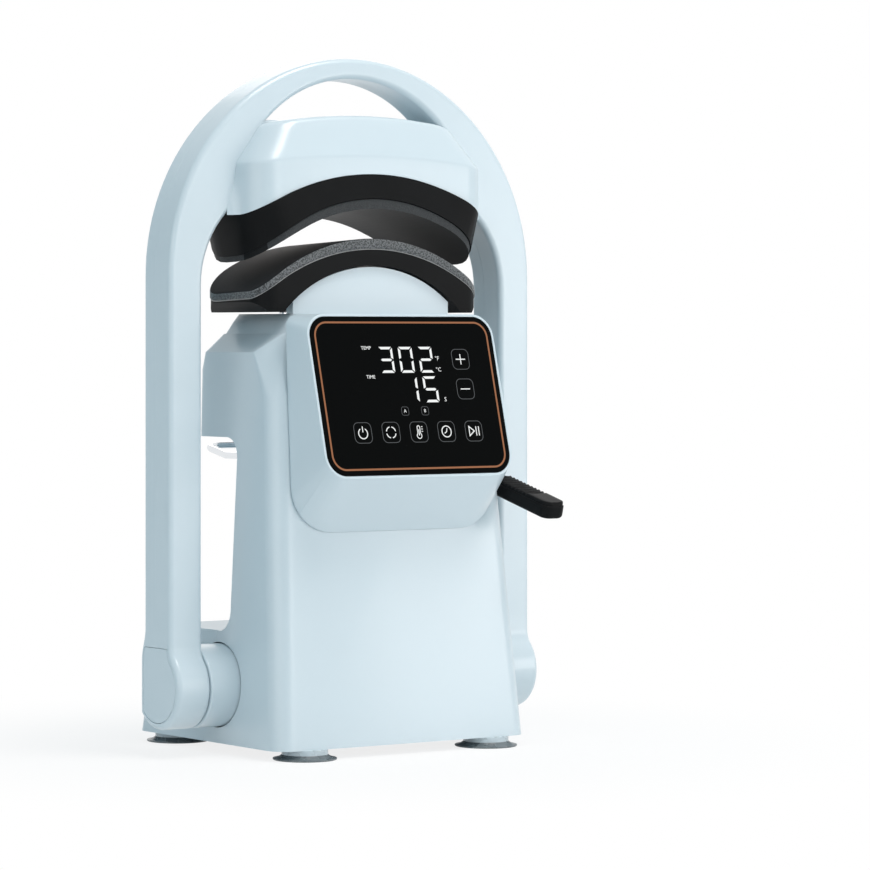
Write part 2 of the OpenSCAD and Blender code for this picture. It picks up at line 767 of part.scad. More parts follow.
module pivot_bracket() color(steel) difference() {
    union() {
        box(bracket_x, [-bracket_half, bracket_half], [pan_top_z, pivot_z]);
        rod_x(bracket_x[0], bracket_x[1], 0, pivot_z, bracket_half);
        box([bracket_x[0] - 14, bracket_x[0] + 1], [-bracket_half, bracket_half], [pan_top_z, pan_top_z + 5]);
    }
    rod_x(bracket_x[0] - eps, bracket_x[1] + eps, 0, pivot_z, bush_r + fit / 2);
}
module pivot_bracket_left() side(-1) pivot_bracket();
module pivot_bracket_right() pivot_bracket();

module pivot_bush() color("#b58a4a") difference() {
    rod_x(bracket_x[0], bracket_x[1], 0, pivot_z, bush_r);
    rod_x(bracket_x[0] - eps, bracket_x[1] + eps, 0, pivot_z, pin_r + fit);
}
module pivot_bush_left() side(-1) pivot_bush();
module pivot_bush_right() pivot_bush();

module friction_washer() color("#4a3b30") difference() {
    rod_x(bracket_x[1], hub_end - gap, 0, pivot_z, bracket_half);
    rod_x(bracket_x[1] - eps, hub_end, 0, pivot_z, pin_r + 0.4);
}
module friction_washer_left() side(-1) friction_washer();
module friction_washer_right() friction_washer();

module pivot_hub() color(blue) difference() {
    union() {
        rod_x(pin_end, hub_end + eps, 0, pivot_z, pin_r);
        rod_x(hub_end, leg_in, 0, pivot_z, hub_r);
        rod_x(leg_in - eps, spigot_end, 0, pivot_z, spigot_r);
    }
    rod_x(leg_in - 8, spigot_end + eps, 0, pivot_z, hub_screw_r + fit);
}
module pivot_hub_left() side(-1) pivot_hub();
module pivot_hub_right() pivot_hub();

module hub_screws() color(steel) both() {
    rod_x(leg_in - 6, spigot_end + eps, 0, pivot_z, hub_screw_r);
    rod_x(spigot_end, spigot_end + 4, 0, pivot_z, 10);
}

// Hold-down

module shaft_bush() color("#b58a4a") difference() {
    union() {
        rod_x(chassis_half - sheet - 2, chassis_half + 0.5, -shaft_ahead, shaft_z, shaft_bush_r);
        rod_x(chassis_half, chassis_half + 2, -shaft_ahead, shaft_z, shaft_bush_r + 2);
    }
    rod_x(chassis_half - 10, chassis_half + 10, -shaft_ahead, shaft_z, shaft_r + fit);
}
module shaft_bush_left() side(-1) shaft_bush();
module shaft_bush_right() shaft_bush();

screw_hold_r = 2.5;
module lever_shaft() color(steel) difference() {
    rod_x(-shaft_left, lever_x[1], -shaft_ahead, shaft_z, shaft_r);
    rod_x(lever_x[1] - 14, lever_x[1] + eps, -shaft_ahead, shaft_z, screw_hold_r + fit);
}

module lever_screw() color(chrome) {
    rod_x(lever_x[1] - 12, lever_x[1] + 0.5, -shaft_ahead, shaft_z, screw_hold_r);
    rod_x(lever_x[1], lever_x[1] + 3, -shaft_ahead, shaft_z, 7);
}

// Frame of the lever: X along its length to the tip, Y square to it, seen from the right
module lever_frame(x0, x1) along_x(x0, x1) translate([-shaft_ahead, shaft_z]) rotate(180 + lever_droop) mirror([0, 1]) children();

lever_low = -lever_drop - grip_t - lever_t;
tip_round = 4;
module lever_arm() color("#232427") difference() {
    union() {
        rod_x(lever_x[0], lever_x[1], -shaft_ahead, shaft_z, lever_hub_r);
        lever_frame(lever_x[0], lever_x[1]) {
            translate([0, lever_low]) square([lever_l - tip_round, lever_t]);
            translate([0, lever_low + tip_round]) square([lever_l, lever_t - tip_round]);
            translate([lever_l - tip_round, lever_low + tip_round]) circle(tip_round);
            translate([0, lever_low]) square([10, lever_t + grip_t + 4]);
        }
    }
    rod_x(lever_x[0] - eps, lever_x[1] + eps, -shaft_ahead, shaft_z, shaft_r + 0.02);
}

grip_from = 18;
module lever_grip() color("#2c2d30") lever_frame(lever_x[0] + 0.8, lever_x[1] - 0.8) {
    translate([grip_from, lever_low + lever_t]) square([lever_l - grip_from, grip_t - 1]);
    pitch = (lever_l - grip_from) / grip_ribs;
    for (i = [0 : grip_ribs - 1]) translate([grip_from + i * pitch, lever_low + lever_t]) square([pitch * 0.6, grip_t]);
}

// Bail: two arms and a bow, bent up a little towards the back
bow_tilt = atan(bow_rise / (bail_back - bend_start));
bow_run = norm([bail_back - bend_start, bow_rise]) - bail_bend;
module cap_bail() color(chrome) {
    both() rod_y(-shaft_ahead + shaft_r + 0.5, bend_start, bail_w / 2, bail_z, rod_d / 2);
    translate([0, at(bend_start), bail_z]) rotate([bow_tilt, 0, 0]) {
        both() {
            translate([bail_w / 2, 0, 0]) sphere(rod_d / 2 + 0.04);
            translate([bail_w / 2, 0, 0]) rotate([-90, 0, 0]) cylinder(h = bow_run, r = rod_d / 2);
            translate([bail_w / 2 - bail_bend, bow_run, 0]) rotate_extrude(angle = 90) translate([bail_bend, 0]) circle(rod_d / 2);
        }
        translate([-bail_w / 2 + bail_bend, bow_run + bail_bend, 0]) rotate([0, 90, 0]) cylinder(h = bail_w - 2 * bail_bend, r = rod_d / 2);
    }
}

module bail_collar() color(steel) difference() {
    rod_x(bail_w / 2 - collar_w / 2, bail_w / 2 + collar_w / 2, -shaft_ahead, shaft_z, collar_r);
    rod_x(0, bail_w, -shaft_ahead, shaft_z, shaft_r + 0.02);
    rod_y(-shaft_ahead + shaft_r + 0.5, 0, bail_w / 2, bail_z, rod_d / 2 + 0.02);
}
module bail_collar_left() side(-1) bail_collar();
module bail_collar_right() bail_collar();

module shaft_clip() color(steel) difference() {
    rod_x(-shaft_left + 0.5, -shaft_left + 2, -shaft_ahead, shaft_z, shaft_r + 3);
    rod_x(-shaft_left - eps, -shaft_left + 5, -shaft_ahead, shaft_z, shaft_r + 0.02);
}

// Arch

e = arch_edge_r;

// Half section of a disc with a round rim, and of a hole whose edges flare out
module rim_section(r) {
    translate([0, -arch_half]) square([r - e, arch_depth]);
    translate([0, -arch_half + e]) square([r, arch_depth - 2 * e]);
    for (s = [-1, 1]) translate([r - e, s * (arch_half - e)]) circle(e);
}
module flare_section(r) {
    translate([0, -arch_half - eps]) square([r, arch_depth + 2 * eps]);
    for (s = [0, 1]) mirror([0, s]) difference() {
        translate([r - 0.1, arch_half - e]) square([e + 0.1, e + eps]);
        translate([r + e, arch_half - e]) circle(e);
    }
}

// Leg end: hub disc ahead of the leg, with a fillet above it
fillet_y = -(arch_half + hub_fillet);
fillet_z = pivot_z + sqrt(pow(hub_r + hub_fillet, 2) - pow(fillet_y, 2));
module leg_end() intersection() {
    union() {
        translate([leg_in, axis_y, pivot_z]) rotate([0, 90, 0]) rotate_extrude() {
            square([hub_r - e, leg_w]);
            square([hub_r, leg_w - e]);
            translate([hub_r - e, leg_w - e]) circle(e);
        }
        along_x(leg_in, arch_w / 2 - e / 4) difference() {
            polygon([[0, pivot_z], [fillet_y, fillet_z], [-arch_half, fillet_z], [0, fillet_z]]);
            translate([fillet_y, fillet_z]) circle(hub_fillet);
        }
    }
    ahead_of(leg_bulge);
}

module arch_form() {
    translate([0, axis_y, arch_centre_z]) rotate([90, 0, 0]) rotate_extrude(angle = 180) rim_section(arch_r);
    translate([0, axis_y, pivot_z]) linear_extrude(arch_centre_z - pivot_z) round_rect(arch_w, arch_depth, e);
    both() leg_end();
}

module hand_hold() intersection() {
    translate([0, axis_y, hand_centre_z]) rotate([90, 0, 0]) rotate_extrude() flare_section(hand_r);
    box([-big, big], [-big, big], [hand_floor_z, 2 * big]);
}

module arch_opening() {
    arc_x = leg_in - opening_r;
    box([-leg_in, leg_in], [-hub_r - eps, hub_r + eps], [-eps, opening_spring_z + 0.1]);
    box([-arc_x, arc_x], [-big, big], [opening_spring_z, opening_spring_z + opening_r]);
    both() {
        translate([arc_x, axis_y, opening_spring_z]) rotate([90, 0, 0]) rotate_extrude(angle = 90) flare_section(opening_r);
        translate([arc_x, axis_y, fillet_z + 6]) linear_extrude(opening_spring_z - fillet_z - 6) flare_section(opening_r);
    }
    intersection() {
        level_disc(shroud_c, shroud_top_r + seat);
        box([-70, 70], [-big, big], [opening_spring_z, 2 * big]);
    }
}

// Bars inside the arch: two legs, two arcs and a beam under the hand-hold
core_in = leg_in + 4;
core_out = arch_r - 3 - e / 4;
core_wall = 3;
beam_h = 24;
beam_z = hand_floor_z - 9 - beam_h;
beam_half = sqrt(pow((core_in + core_out) / 2, 2) - pow(beam_z + beam_h / 2 - arch_centre_z, 2));
core_low_z = pivot_z + spigot_r + 4;
module core_section(g) {
    for (s = [0, 1]) mirror([s, 0]) {
        translate([core_in + g, core_low_z + g]) square([core_out - core_in - 2 * g, arch_centre_z - core_low_z]);
        translate([0, arch_centre_z]) intersection() {
            difference() {
                circle(core_out - g);
                circle(core_in + g);
            }
            square([big, beam_z + beam_h - g - arch_centre_z]);
        }
    }
    translate([-beam_half + g, beam_z + g]) square([2 * (beam_half - g), beam_h - 2 * g]);
}

module arch_hollows() {
    along_y(-core_t / 2, core_t / 2) core_section(0);
    both() {
        rod_x(leg_in - eps, leg_in + 8, 0, pivot_z, spigot_r + fit);
        rod_x(leg_in + 4, arch_r, 0, pivot_z, spigot_r + 3);
        cover_recess();
    }
    head_screw_holes();
}

// Outline of a leg's end, drawn in Y and Z
module leg_outline(inset) intersection() {
    union() {
        translate([0, pivot_z]) circle(hub_r - inset);
        translate([-arch_half + inset, pivot_z]) square([arch_depth - 2 * inset, leg_cover_z - pivot_z + eps]);
    }
    translate([-big, 0]) square([big + arch_half - inset, leg_cover_z - inset]);
}
module cover_recess() along_x(arch_w / 2 - leg_cover_t, arch_w) leg_outline(2.5);

module leg_cover() color(blue) intersection() {
    along_x(arch_w / 2 - leg_cover_t, arch_w / 2) leg_outline(2.7);
    arch_form();
}
module leg_cover_left() side(-1) leg_cover();
module leg_cover_right() leg_cover();

module arch_shell() difference() {
    arch_form();
    hand_hold();
    arch_opening();
    arch_hollows();
}

module arch_front_shell() color(blue) intersection() {
    arch_shell();
    ahead_of(arch_seam);
}

module arch_rear_shell() color(blue) intersection() {
    arch_shell();
    behind(arch_seam);
}

// A channel, open to the back
module arch_core() color(steel) difference() {
    along_y(-core_t / 2 + core_seat, core_t / 2 - core_seat) core_section(core_seat);
    along_y(-core_t / 2 + core_seat + core_wall, core_t) core_section(core_seat + core_wall);
}

// Head

module head_front_form(inset) intersection() {
    hull() {
        slice(head_w - 2 * inset, head_front - inset, 10, 345, head_corner - inset);
        slice(head_w - 2 * inset, head_front - inset, 10, head_break_z - inset / 2, head_corner - inset);
        slice(head_w / 2, head_front - inset, 10, head_break_z + head_crown - inset / 2, head_corner - inset);
        slice(head_top_w - 2 * inset, head_top_front - inset, 10, head_top_z - head_crown + 1 - inset, head_corner - inset);
        slice(head_top_w / 2, head_top_front - inset, 10, head_top_z - inset, head_corner - inset);
    }
    ahead_of(inset > 0 ? eps - arch_half : -arch_half);
}

module head_front_cover() color(blue) difference() {
    head_front_form(0);
    level_disc(shroud_c, shroud_top_r + 2 * seat);
    difference() {
        head_front_form(wall);
        level_disc(shroud_c, shroud_top_r + 2 * seat + wall);
    }
}

module head_rear_form(inset) intersection() {
    hull() {
        slice(head_w - 15 - 2 * inset, 10, head_back - 1 - inset, 345, head_corner - inset);
        slice(head_w - 12 - 2 * inset, 10, head_back - inset, head_break_z - inset / 2, head_corner - inset);
        slice(head_top_w - 14 - 2 * inset, 10, head_back - 8 - inset, head_top_z - 8 - inset, head_corner - inset);
    }
    behind(inset > 0 ? arch_half - eps : arch_half);
}

module head_rear_hollow() difference() {
    head_rear_form(wall);
    level_disc(shroud_c, shroud_top_r + 2 * seat + wall);
}

module head_rear_cover() color(blue) difference() {
    head_rear_form(0);
    level_disc(shroud_c, shroud_top_r + 2 * seat);
    head_rear_hollow();
    head_screw_holes();
    for (x = [-36 : 9 : 36]) box([x - 1.5, x + 1.5], [head_back - 4, head_back + eps], [399, 409]);
}

// Screws through the rear cover into the arch
head_screw_x = 62;
head_screw_z = head_break_z - 5;
module head_screw_holes() both() rod_y(arch_half - 4, head_back + eps, head_screw_x, head_screw_z, screw_r + fit);
module head_screws() color(steel) both() {
    rod_y(arch_half - 3.5, head_back + 0.5, head_screw_x, head_screw_z, screw_r);
    rod_y(head_back, head_back + 1.6, head_screw_x, head_screw_z, 3.4);
}

// The shroud runs in from the head's own outline to a rounder lower edge
shroud_low_z = heater_c + sqrt(pow(press_r, 2) - pow(head_w / 2, 2)) - 2;
shroud_high_z = shroud_top_z + 3;
module shroud_slice(w, front, back, z, rf, rb) both() {
    rod_z(z - skin, z, w / 2 - rf, rf - front, rf, $fn = 32);
    rod_z(z - skin, z, w / 2 - rb, back - rb, rb, $fn = 32);
}
module shroud_plan(inset) hull() {
    shroud_slice(shroud_w - 2 * inset, shroud_front - inset, shroud_back - inset, shroud_low_z,
        shroud_corner - inset, shroud_rear_corner - inset);
    shroud_slice(head_w + 9 - 2 * inset, head_front - inset, shroud_back - 3 - inset, shroud_high_z,
        head_corner - 6 - inset, shroud_rear_corner - 20 - inset);
}

module heater_shroud() color(black) difference() {
    intersection() {
        shroud_plan(0);
        level_disc(shroud_c, shroud_top_r);
    }
    press_disc(groove_c, groove_r);
    intersection() {
        plan(shroud_w - 4 * shroud_wall, head_front - shroud_wall, shroud_back - 2 * shroud_wall, [300, big],
            shroud_corner - 2 * shroud_wall);
        level_disc(shroud_c, shroud_top_r - shroud_wall);
    }
}

module heater_plate() color("#4a4b4d") difference() {
    intersection() {
        shroud_plan(0.8);
        press_disc(groove_c, groove_r - gap);
    }
    press_disc(heater_c, press_r);
}

// Two bent tubes lying on the heater plate, with their terminals
tube_r = groove_r - gap + element_r + 0.1;
tube_ys = [-24, 14];
module heating_element() color("#8d7a66") pressed() for (y = tube_ys) translate([0, at(y), groove_c]) rotate([90, 0, 0]) {
    rotate([0, 0, 58]) rotate_extrude(angle = 64) translate([tube_r, 0]) circle(element_r);
    for (a = [58, 122]) rotate([0, 0, a]) translate([tube_r, 0, 0]) sphere(element_r + 0.05);
}

module thermostat() color("#b9a88c") pressed() {
    rod_z(groove_z + 0.1, groove_z + 5, 0, -5, 9);
    box([-6, 6], [-8, -2], [groove_z + 4, groove_z + 10]);
}

base_pan();
front_shell();
base_rear_shell();
block_rear_shell();
platen_collar();
control_housing();
panel_glass();
light_line();
display_board();
power_board();
power_inlet();
foot_front_left();
foot_front_right();
foot_rear_left();
foot_rear_right();
foot_screws();
chassis();
guide_bush_left();
guide_bush_right();
gear_motor();
motor_screws();
base_screws();
pivot_bracket_left();
pivot_bracket_right();
pivot_bush_left();
pivot_bush_right();
friction_washer_left();
friction_washer_right();
shaft_bush_left();
shaft_bush_right();
cam_shaft();
lift_cam();
platen_base();
foam_pad();
guide_post_left();
guide_post_right();
cam_follower();
lever_arm();
lever_grip();
lever_shaft();
lever_screw();
cap_bail();
bail_collar_left();
bail_collar_right();
shaft_clip();
arch_front_shell();
arch_rear_shell();
leg_cover_left();
leg_cover_right();
pivot_hub_left();
pivot_hub_right();
hub_screws();
arch_core();
head_front_cover();
head_rear_cover();
heater_shroud();
heater_plate();
heating_element();
thermostat();
head_screws();
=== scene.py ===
"""Looks of a bench-top cap press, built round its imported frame."""

import json
import math

import bmesh
import bpy
from bpy.props import FloatProperty, FloatVectorProperty, IntProperty, PointerProperty
from mathutils import Matrix, Vector


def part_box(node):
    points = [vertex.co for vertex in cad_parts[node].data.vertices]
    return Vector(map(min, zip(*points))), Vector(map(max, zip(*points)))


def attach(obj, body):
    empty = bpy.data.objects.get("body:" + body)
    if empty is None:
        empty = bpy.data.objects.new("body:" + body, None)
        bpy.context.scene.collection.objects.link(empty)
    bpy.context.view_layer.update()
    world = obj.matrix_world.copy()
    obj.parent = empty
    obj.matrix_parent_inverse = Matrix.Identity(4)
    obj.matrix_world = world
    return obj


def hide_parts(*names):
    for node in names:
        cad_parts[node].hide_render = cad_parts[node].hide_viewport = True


bl_info = {
    "name": "Cap press dressing",
    "version": (1, 0, 0),
    "blender": (4, 5, 0),
    "location": "View3D > Sidebar > Cap press",
    "description": "Finishes the moulded shells, pad, panel and fittings of a cap press",
    "category": "Object",
}

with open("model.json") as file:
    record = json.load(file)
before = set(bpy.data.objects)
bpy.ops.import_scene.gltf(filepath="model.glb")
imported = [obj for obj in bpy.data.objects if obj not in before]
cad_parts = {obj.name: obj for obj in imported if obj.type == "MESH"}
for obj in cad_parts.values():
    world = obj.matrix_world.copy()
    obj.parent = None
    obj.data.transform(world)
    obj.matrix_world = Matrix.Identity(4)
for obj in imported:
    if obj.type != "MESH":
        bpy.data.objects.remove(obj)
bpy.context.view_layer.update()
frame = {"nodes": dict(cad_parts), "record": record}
MM = 0.001
# Colour of the lamps, against the bluer light from all round
WARM = (1.0, 0.92, 0.88)
JOINT = {j["name"]: j for j in frame["record"]["behaviour"]["joints"]}
AXIS_Y = JOINT["arch_swing"]["pos_m"][1]
PIVOT_Z = JOINT["arch_swing"]["pos_m"][2]


def linear(code):
    """An sRGB hex colour as linear red, green and blue."""
    parts = [int(code[i : i + 2], 16) / 255 for i in (1, 3, 5)]
    return tuple(c / 12.92 if c <= 0.04045 else ((c + 0.055) / 1.055) ** 2.4 for c in parts)


# Materials


def add(tree, kind, links=None, **settings):
    """Adds one node: settings are its attributes, links its sockets' values or sources."""
    node = tree.nodes.new(kind)
    for key, value in settings.items():
        setattr(node, key, value)
    for key, value in (links or {}).items():
        if isinstance(value, bpy.types.NodeSocket):
            tree.links.new(value, node.inputs[key])
        else:
            node.inputs[key].default_value = value
    return node


def shade(colour, share):
    """A colour made darker or lighter."""
    return tuple(part * share for part in colour)


def socket(shader, key):
    """The shader's socket that a keyword names."""
    return shader.inputs[key.replace("_", " ").title().replace("Ior", "IOR")]


def surface(name, colour, *grains, blend=0.15, **sockets):
    """A material with one shader, varied by grains: each a size in millimetres, a detail and its effects.

    A grain without detail is drawn as round cells. Its bump is a depth in millimetres and a strength, its
    tones are the darkest and lightest share of the colour, blended slowly where blend is large, and any
    other effect is a range for the socket of that name.
    """
    made = bpy.data.materials.new(name)
    made.use_nodes = True
    tree = made.node_tree
    shader = tree.nodes["Principled BSDF"]
    shader.inputs["Base Color"].default_value = (*colour, 1)
    for key, value in sockets.items():
        socket(shader, key).default_value = value
    place = add(tree, "ShaderNodeTexCoord").outputs["Object"]
    for size_mm, detail, effects in grains:
        links = {"Vector": place, "Scale": 1 / (size_mm * MM)}
        if detail:
            factor = add(tree, "ShaderNodeTexNoise", {**links, "Detail": detail}).outputs["Fac"]
        else:
            factor = add(tree, "ShaderNodeTexVoronoi", links).outputs["Distance"]
        for key, (low, high) in effects.items():
            if key == "bump":
                links = {"Height": factor, "Distance": low * MM, "Strength": high}
                tree.links.new(add(tree, "ShaderNodeBump", links).outputs["Normal"], shader.inputs["Normal"])
            elif key == "tones":
                ramp = add(tree, "ShaderNodeValToRGB", {"Fac": factor})
                for stop, share, side in zip(ramp.color_ramp.elements, (low, high), (-1, 1)):
                    stop.position = 0.5 + side * blend
                    stop.color = (*shade(colour, share), 1)
                tree.links.new(ramp.outputs["Color"], shader.inputs["Base Color"])
            else:
                links = {"Value": factor, "To Min": low, "To Max": high}
                tree.links.new(add(tree, "ShaderNodeMapRange", links).outputs["Result"], socket(shader, key))
    return made


def moulded_abs(look):
    """Injection-moulded ABS from a polished tool: even colour, soft gloss, faint orange peel."""
    peel = 2.2, 1.0, {"bump": (0.012, 0.35)}
    drift = 60, 2.0, {"tones": (0.985, 1), "roughness": (0.26, 0.34)}
    return surface("abs_moulded_gloss", look.shell, peel, drift,
                   roughness=0.3, ior=1.52, coat_weight=0.25, coat_roughness=0.12)


def textured_black(look):
    """Glass-filled nylon with a spark-eroded texture: dull black that greys at grazing light."""
    erosion = 0.55, 3.0, {"roughness": (0.38, 0.56), "bump": (0.05, 0.5)}
    drift = 24, 2.0, {"tones": (0.85, 1)}
    return surface("nylon_black_textured", look.black, erosion, drift,
                   roughness=0.46, ior=1.53, specular_ior_level=0.06)


def cut_foam(look):
    """Cut edge of silicone foam: grey, matt, with pale specks drawn at twice the cells' size to show."""
    specks = 1.1, 1.0, {"tones": (0.4, 1.55)}
    cells = 0.9, 0, {"bump": (0.25, 0.7)}
    return surface("silicone_foam_cut", look.foam, specks, cells, blend=0.09,
                   roughness=0.88, ior=1.41, sheen_weight=0.35, sheen_roughness=0.5)


def pressed_skin(look):
    """Silicone skin pressed smooth on the pad's top: black, dull, with a low sheen at a grazing look."""
    pores = 1.1, 3.0, {"tones": (0.8, 1.2), "roughness": (0.44, 0.58), "bump": (0.02, 0.4)}
    return surface("silicone_skin_black", look.skin, pores, roughness=0.5, ior=1.42, specular_ior_level=0.03)


def coated_heater(name, colour):
    """Cast aluminium under a non-stick coat: near black, satin, fine even grit."""
    grit = 0.7, 3.0, {"tones": (0.8, 1.25), "roughness": (0.36, 0.5), "bump": (0.03, 0.4)}
    return surface(name, colour, grit, roughness=0.5, ior=1.5, specular_ior_level=0.05)


def touch_glass(look):
    """Glass printed black on its back, with an anti-glare coat: deep black, hardly a mirror image."""
    smear = 18, 3.0, {"roughness": (0.03, 0.08)}
    return surface("glass_back_printed", look.glass, smear, roughness=0.05, ior=1.52, specular_ior_level=0.02)


def lit_print(name, colour, strength):
    """Print on the back of the glass with a lamp behind it: it glows evenly."""
    haze = 5, 2.0, {"emission_strength": (0.94 * strength, strength)}
    return surface(name, shade(colour, 0.1), haze,
                   roughness=0.3, specular_ior_level=0.1, emission_color=(*colour, 1))


def drawn_chrome(look):
    """Bright chrome plate over drawn wire: mirror with faint draw lines."""
    lines = 0.6, 2.0, {"roughness": (0.05, 0.12)}
    return surface("steel_wire_chromed", look.chrome, lines, roughness=0.07, metallic=1.0)


def plain_steel(look):
    """Cold-rolled steel, wiped clean: grey metal with a drifting haze."""
    haze = 6, 4.0, {"tones": (0.86, 1), "roughness": (0.28, 0.46)}
    return surface("steel_cold_rolled", look.steel, haze, roughness=0.36, metallic=1.0)


def cast_metal(name, colour, metallic, roughness, size_mm):
    """Cast or sintered metal: a dull grain of a given size."""
    gloss = roughness - 0.06, roughness + 0.08
    grit = size_mm, 3.0, {"tones": (0.82, 1.08), "roughness": gloss, "bump": (0.03, 0.5)}
    return surface(name, colour, grit, roughness=roughness, metallic=metallic)


def suction_rubber(name, colour):
    """Clear soft PVC, moulded: milky, so the light goes some way in."""
    cloud = 9, 2.0, {"tones": (0.86, 1), "roughness": (0.22, 0.34)}
    return surface(name, colour, cloud, roughness=0.28, ior=1.53, transmission_weight=0.12)


def plain_plastic(name, colour, roughness, size_mm):
    """Moulded or laminated plastic: one colour with a small mottle."""
    gloss = roughness - 0.08, roughness + 0.08
    mottle = size_mm, 2.0, {"tones": (0.84, 1.06), "roughness": gloss}
    return surface(name, colour, mottle, roughness=roughness, ior=1.5)


def colour(name, code, words):
    return FloatVectorProperty(
        name=name, description=words, subtype="COLOR", size=3, min=0, max=1, default=linear(code)
    )


def length(name, size_mm, words):
    return FloatProperty(name=name, description=words, default=size_mm * MM, unit="LENGTH")


def angle(name, degrees, words):
    return FloatProperty(name=name, description=words, default=math.radians(degrees), subtype="ANGLE")


class CapPressColours(bpy.types.PropertyGroup):
    shell: colour("Shell", "#ccd8de", "Colour of the moulded shells")
    black: colour("Black parts", "#151617", "Colour of the shroud, platen and lever")
    foam: colour("Foam", "#5d5e5f", "Colour of the pad")
    skin: colour("Pad skin", "#26282a", "Colour of the pad's pressed top")
    # The coat's colour is drawn darker than the rim's: painted shade on the heater's downward pressing face
    coat: colour("Heater coat", "#1d1e1f", "Colour of the heater plate's coat")
    rim: colour("Heater rim", "#3f4041", "Colour of the heater plate's edge")
    glass: colour("Glass", "#090a0a", "Colour behind the touch glass")
    light: colour("Light line", "#9a6749", "Colour of the line round the glass")
    figure: colour("Figures", "#f2f4f3", "Colour of the lit figures and keys")
    chrome: colour("Chrome", "#e4e7ea", "Colour of the bail")
    steel: colour("Steel", "#b9bdc1", "Colour of the steel inside")
    foot: colour("Feet", "#d3dfe5", "Colour of the suction feet")
    # The lips are the same clear PVC as the necks, drawn darker: painted shade where the feet meet the floor
    # under the base
    lip: colour("Feet's lips", "#6f777b", "Colour of the feet's thin lips, where little light gets through")


class CapPressSizes(bpy.types.PropertyGroup):
    edge: length("Edge", 1.4, "Rounding of the shells' edges")
    fine_edge: length("Fine edge", 0.5, "Rounding of small parts' edges")
    seam: length("Seam", 0.25, "Easing of the seam between the arch's shells")
    arch_depth: length("Arch depth", 34, "Depth of the arch")
    arch_edge: length("Arch edge", 4, "Rounding of the arch's rims")
    arch_seam: length("Arch seam", 2, "Place of the seam behind the axis")
    leg: length("Leg", 26, "Width of a leg")
    opening: length("Opening", 70, "Radius of the opening's corners")
    spring: length("Spring", 315, "Height where the opening starts to bend")
    grip_bar: length("Grip bar", 14, "Thickness of the bar over the hand-hold")
    grip_inset: length("Grip inset", 50, "How much smaller the hand-hold's radius is")
    grip_floor: length("Grip floor", 428, "Height of the hand-hold's lower edge")
    join: length("Leg join", 90, "Height where a leg's end starts")
    hub_fillet: length("Hub fillet", 14, "Radius from the leg into its end")
    leg_bulge: length("Leg bulge", 21.6, "Reach of the leg's end behind the axis")
    cover_top: length("Cover top", 73, "Height of the upper edge of the legs' covers")
    head_break: length("Head break", 397, "Height of the head's break at its ends")
    head_crown: length("Head crown", 7, "Rise of the break and of the top edge")
    head_soft: length("Head softness", 1.6, "Height over which the break turns")
    head_lip: length("Head lip", 3, "Rounding of the head's top edge")
    head_corner: length("Head corner", 22, "Radius of the head's corners")
    head_top_half: length("Head top half", 79, "Half the width of the head's top")
    head_top_front: length("Head top front", 31, "Reach of the head's top edge")
    head_flare: length("Head flare", 7, "Fillet of the head's sides into the arch")
    head_fade: length("Head fillet fade", 28, "Height over which that fillet grows")
    shroud_r: length("Shroud arc", 180, "Radius of the shroud's upper edge")
    press_r: length("Press arc", 137, "Radius of the pad's top")
    pad_t: length("Pad thickness", 7, "Thickness of the pad at its crest")
    pad_end_t: length("Pad ends", 5, "Height of the pad at its ends")
    pad_lip: length("Pad lip", 1.2, "Rounding of the pad's upper edge")
    platen_corner: length("Platen corner", 15, "Radius of the platen's corners")
    platen_rear: length("Platen rear corner", 28, "Radius of the platen's corners at the back")
    press_tilt: angle("Press tilt", 2, "Fall of the pressing faces to the back")
    lever_droop: angle("Lever droop", 14.6, "Fall of the lever to its tip")
    lever_reach: length("Lever reach", 86, "From the shaft to the lever's tip")
    lever_tip: length("Lever tip", 7, "Radius of the tip's corners")
    lever_root: length("Lever root", 12, "From the shaft to where the bar starts")
    lever_hub: length("Lever hub", 14, "Radius of the lever's hub")
    lever_under: length("Lever under", 18, "From the shaft down to the bar's lower face")
    lever_thick: length("Lever thickness", 9, "Thickness of the bar")
    lever_grip: length("Grip start", 18, "From the shaft to where the grip starts")
    grip_rise: length("Grip rise", 2.9, "Height of the grip on the bar")
    rib_count: IntProperty(name="Ribs", description="Number of ribs on the grip", default=11, min=1)
    rib_pitch: length("Rib pitch", 4.2, "From rib to rib")
    rib_depth: length("Rib depth", 0.9, "Depth between the ribs")
    rib_bow: length("Rib bow", 2, "How far the ribs' ends lie ahead")
    foot_neck: length("Foot neck", 15.5, "Radius of a foot's neck")
    foot_lip: length("Foot lip", 1.1, "Thickness of a foot's lip")
    panel_tilt: angle("Panel tilt", 14.6, "Lean of the glass from upright")
    glass_t: length("Glass", 2, "Thickness of the touch glass")
    eye_away: length("Camera distance", 2640, "From the pivot axis to the camera")
    eye_height: length("Camera height", 282.2, "Height of the camera")
    eye_turn: angle("Camera turn", 34.5, "Turn of the camera to the left of the front")


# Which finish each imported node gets
FINISH_NODES = {
    "shell": "front_shell base_rear_shell block_rear_shell platen_collar control_housing "
    "arch_front_shell arch_rear_shell leg_cover_left leg_cover_right pivot_hub_left pivot_hub_right "
    "head_front_cover head_rear_cover",
    "black": "power_inlet heater_shroud lever_arm lever_grip platen_base",
    "pan": "base_pan",
    "board": "display_board power_board",
    "foot": "foot_front_left foot_front_right foot_rear_left foot_rear_right",
    "steel": "foot_screws chassis motor_screws base_screws pivot_bracket_left pivot_bracket_right "
    "cam_shaft cam_follower lever_shaft bail_collar_left bail_collar_right shaft_clip hub_screws "
    "arch_core head_screws",
    "chrome": "guide_post_left guide_post_right lever_screw cap_bail",
    "bronze": "guide_bush_left guide_bush_right pivot_bush_left pivot_bush_right "
    "shaft_bush_left shaft_bush_right",
    "motor": "gear_motor",
    "lining": "friction_washer_left friction_washer_right",
    "cam": "lift_cam",
    "heater": "heater_plate",
    "element": "heating_element",
    "ceramic": "thermostat",
    "glass": "panel_glass",
    "light": "light_line",
}


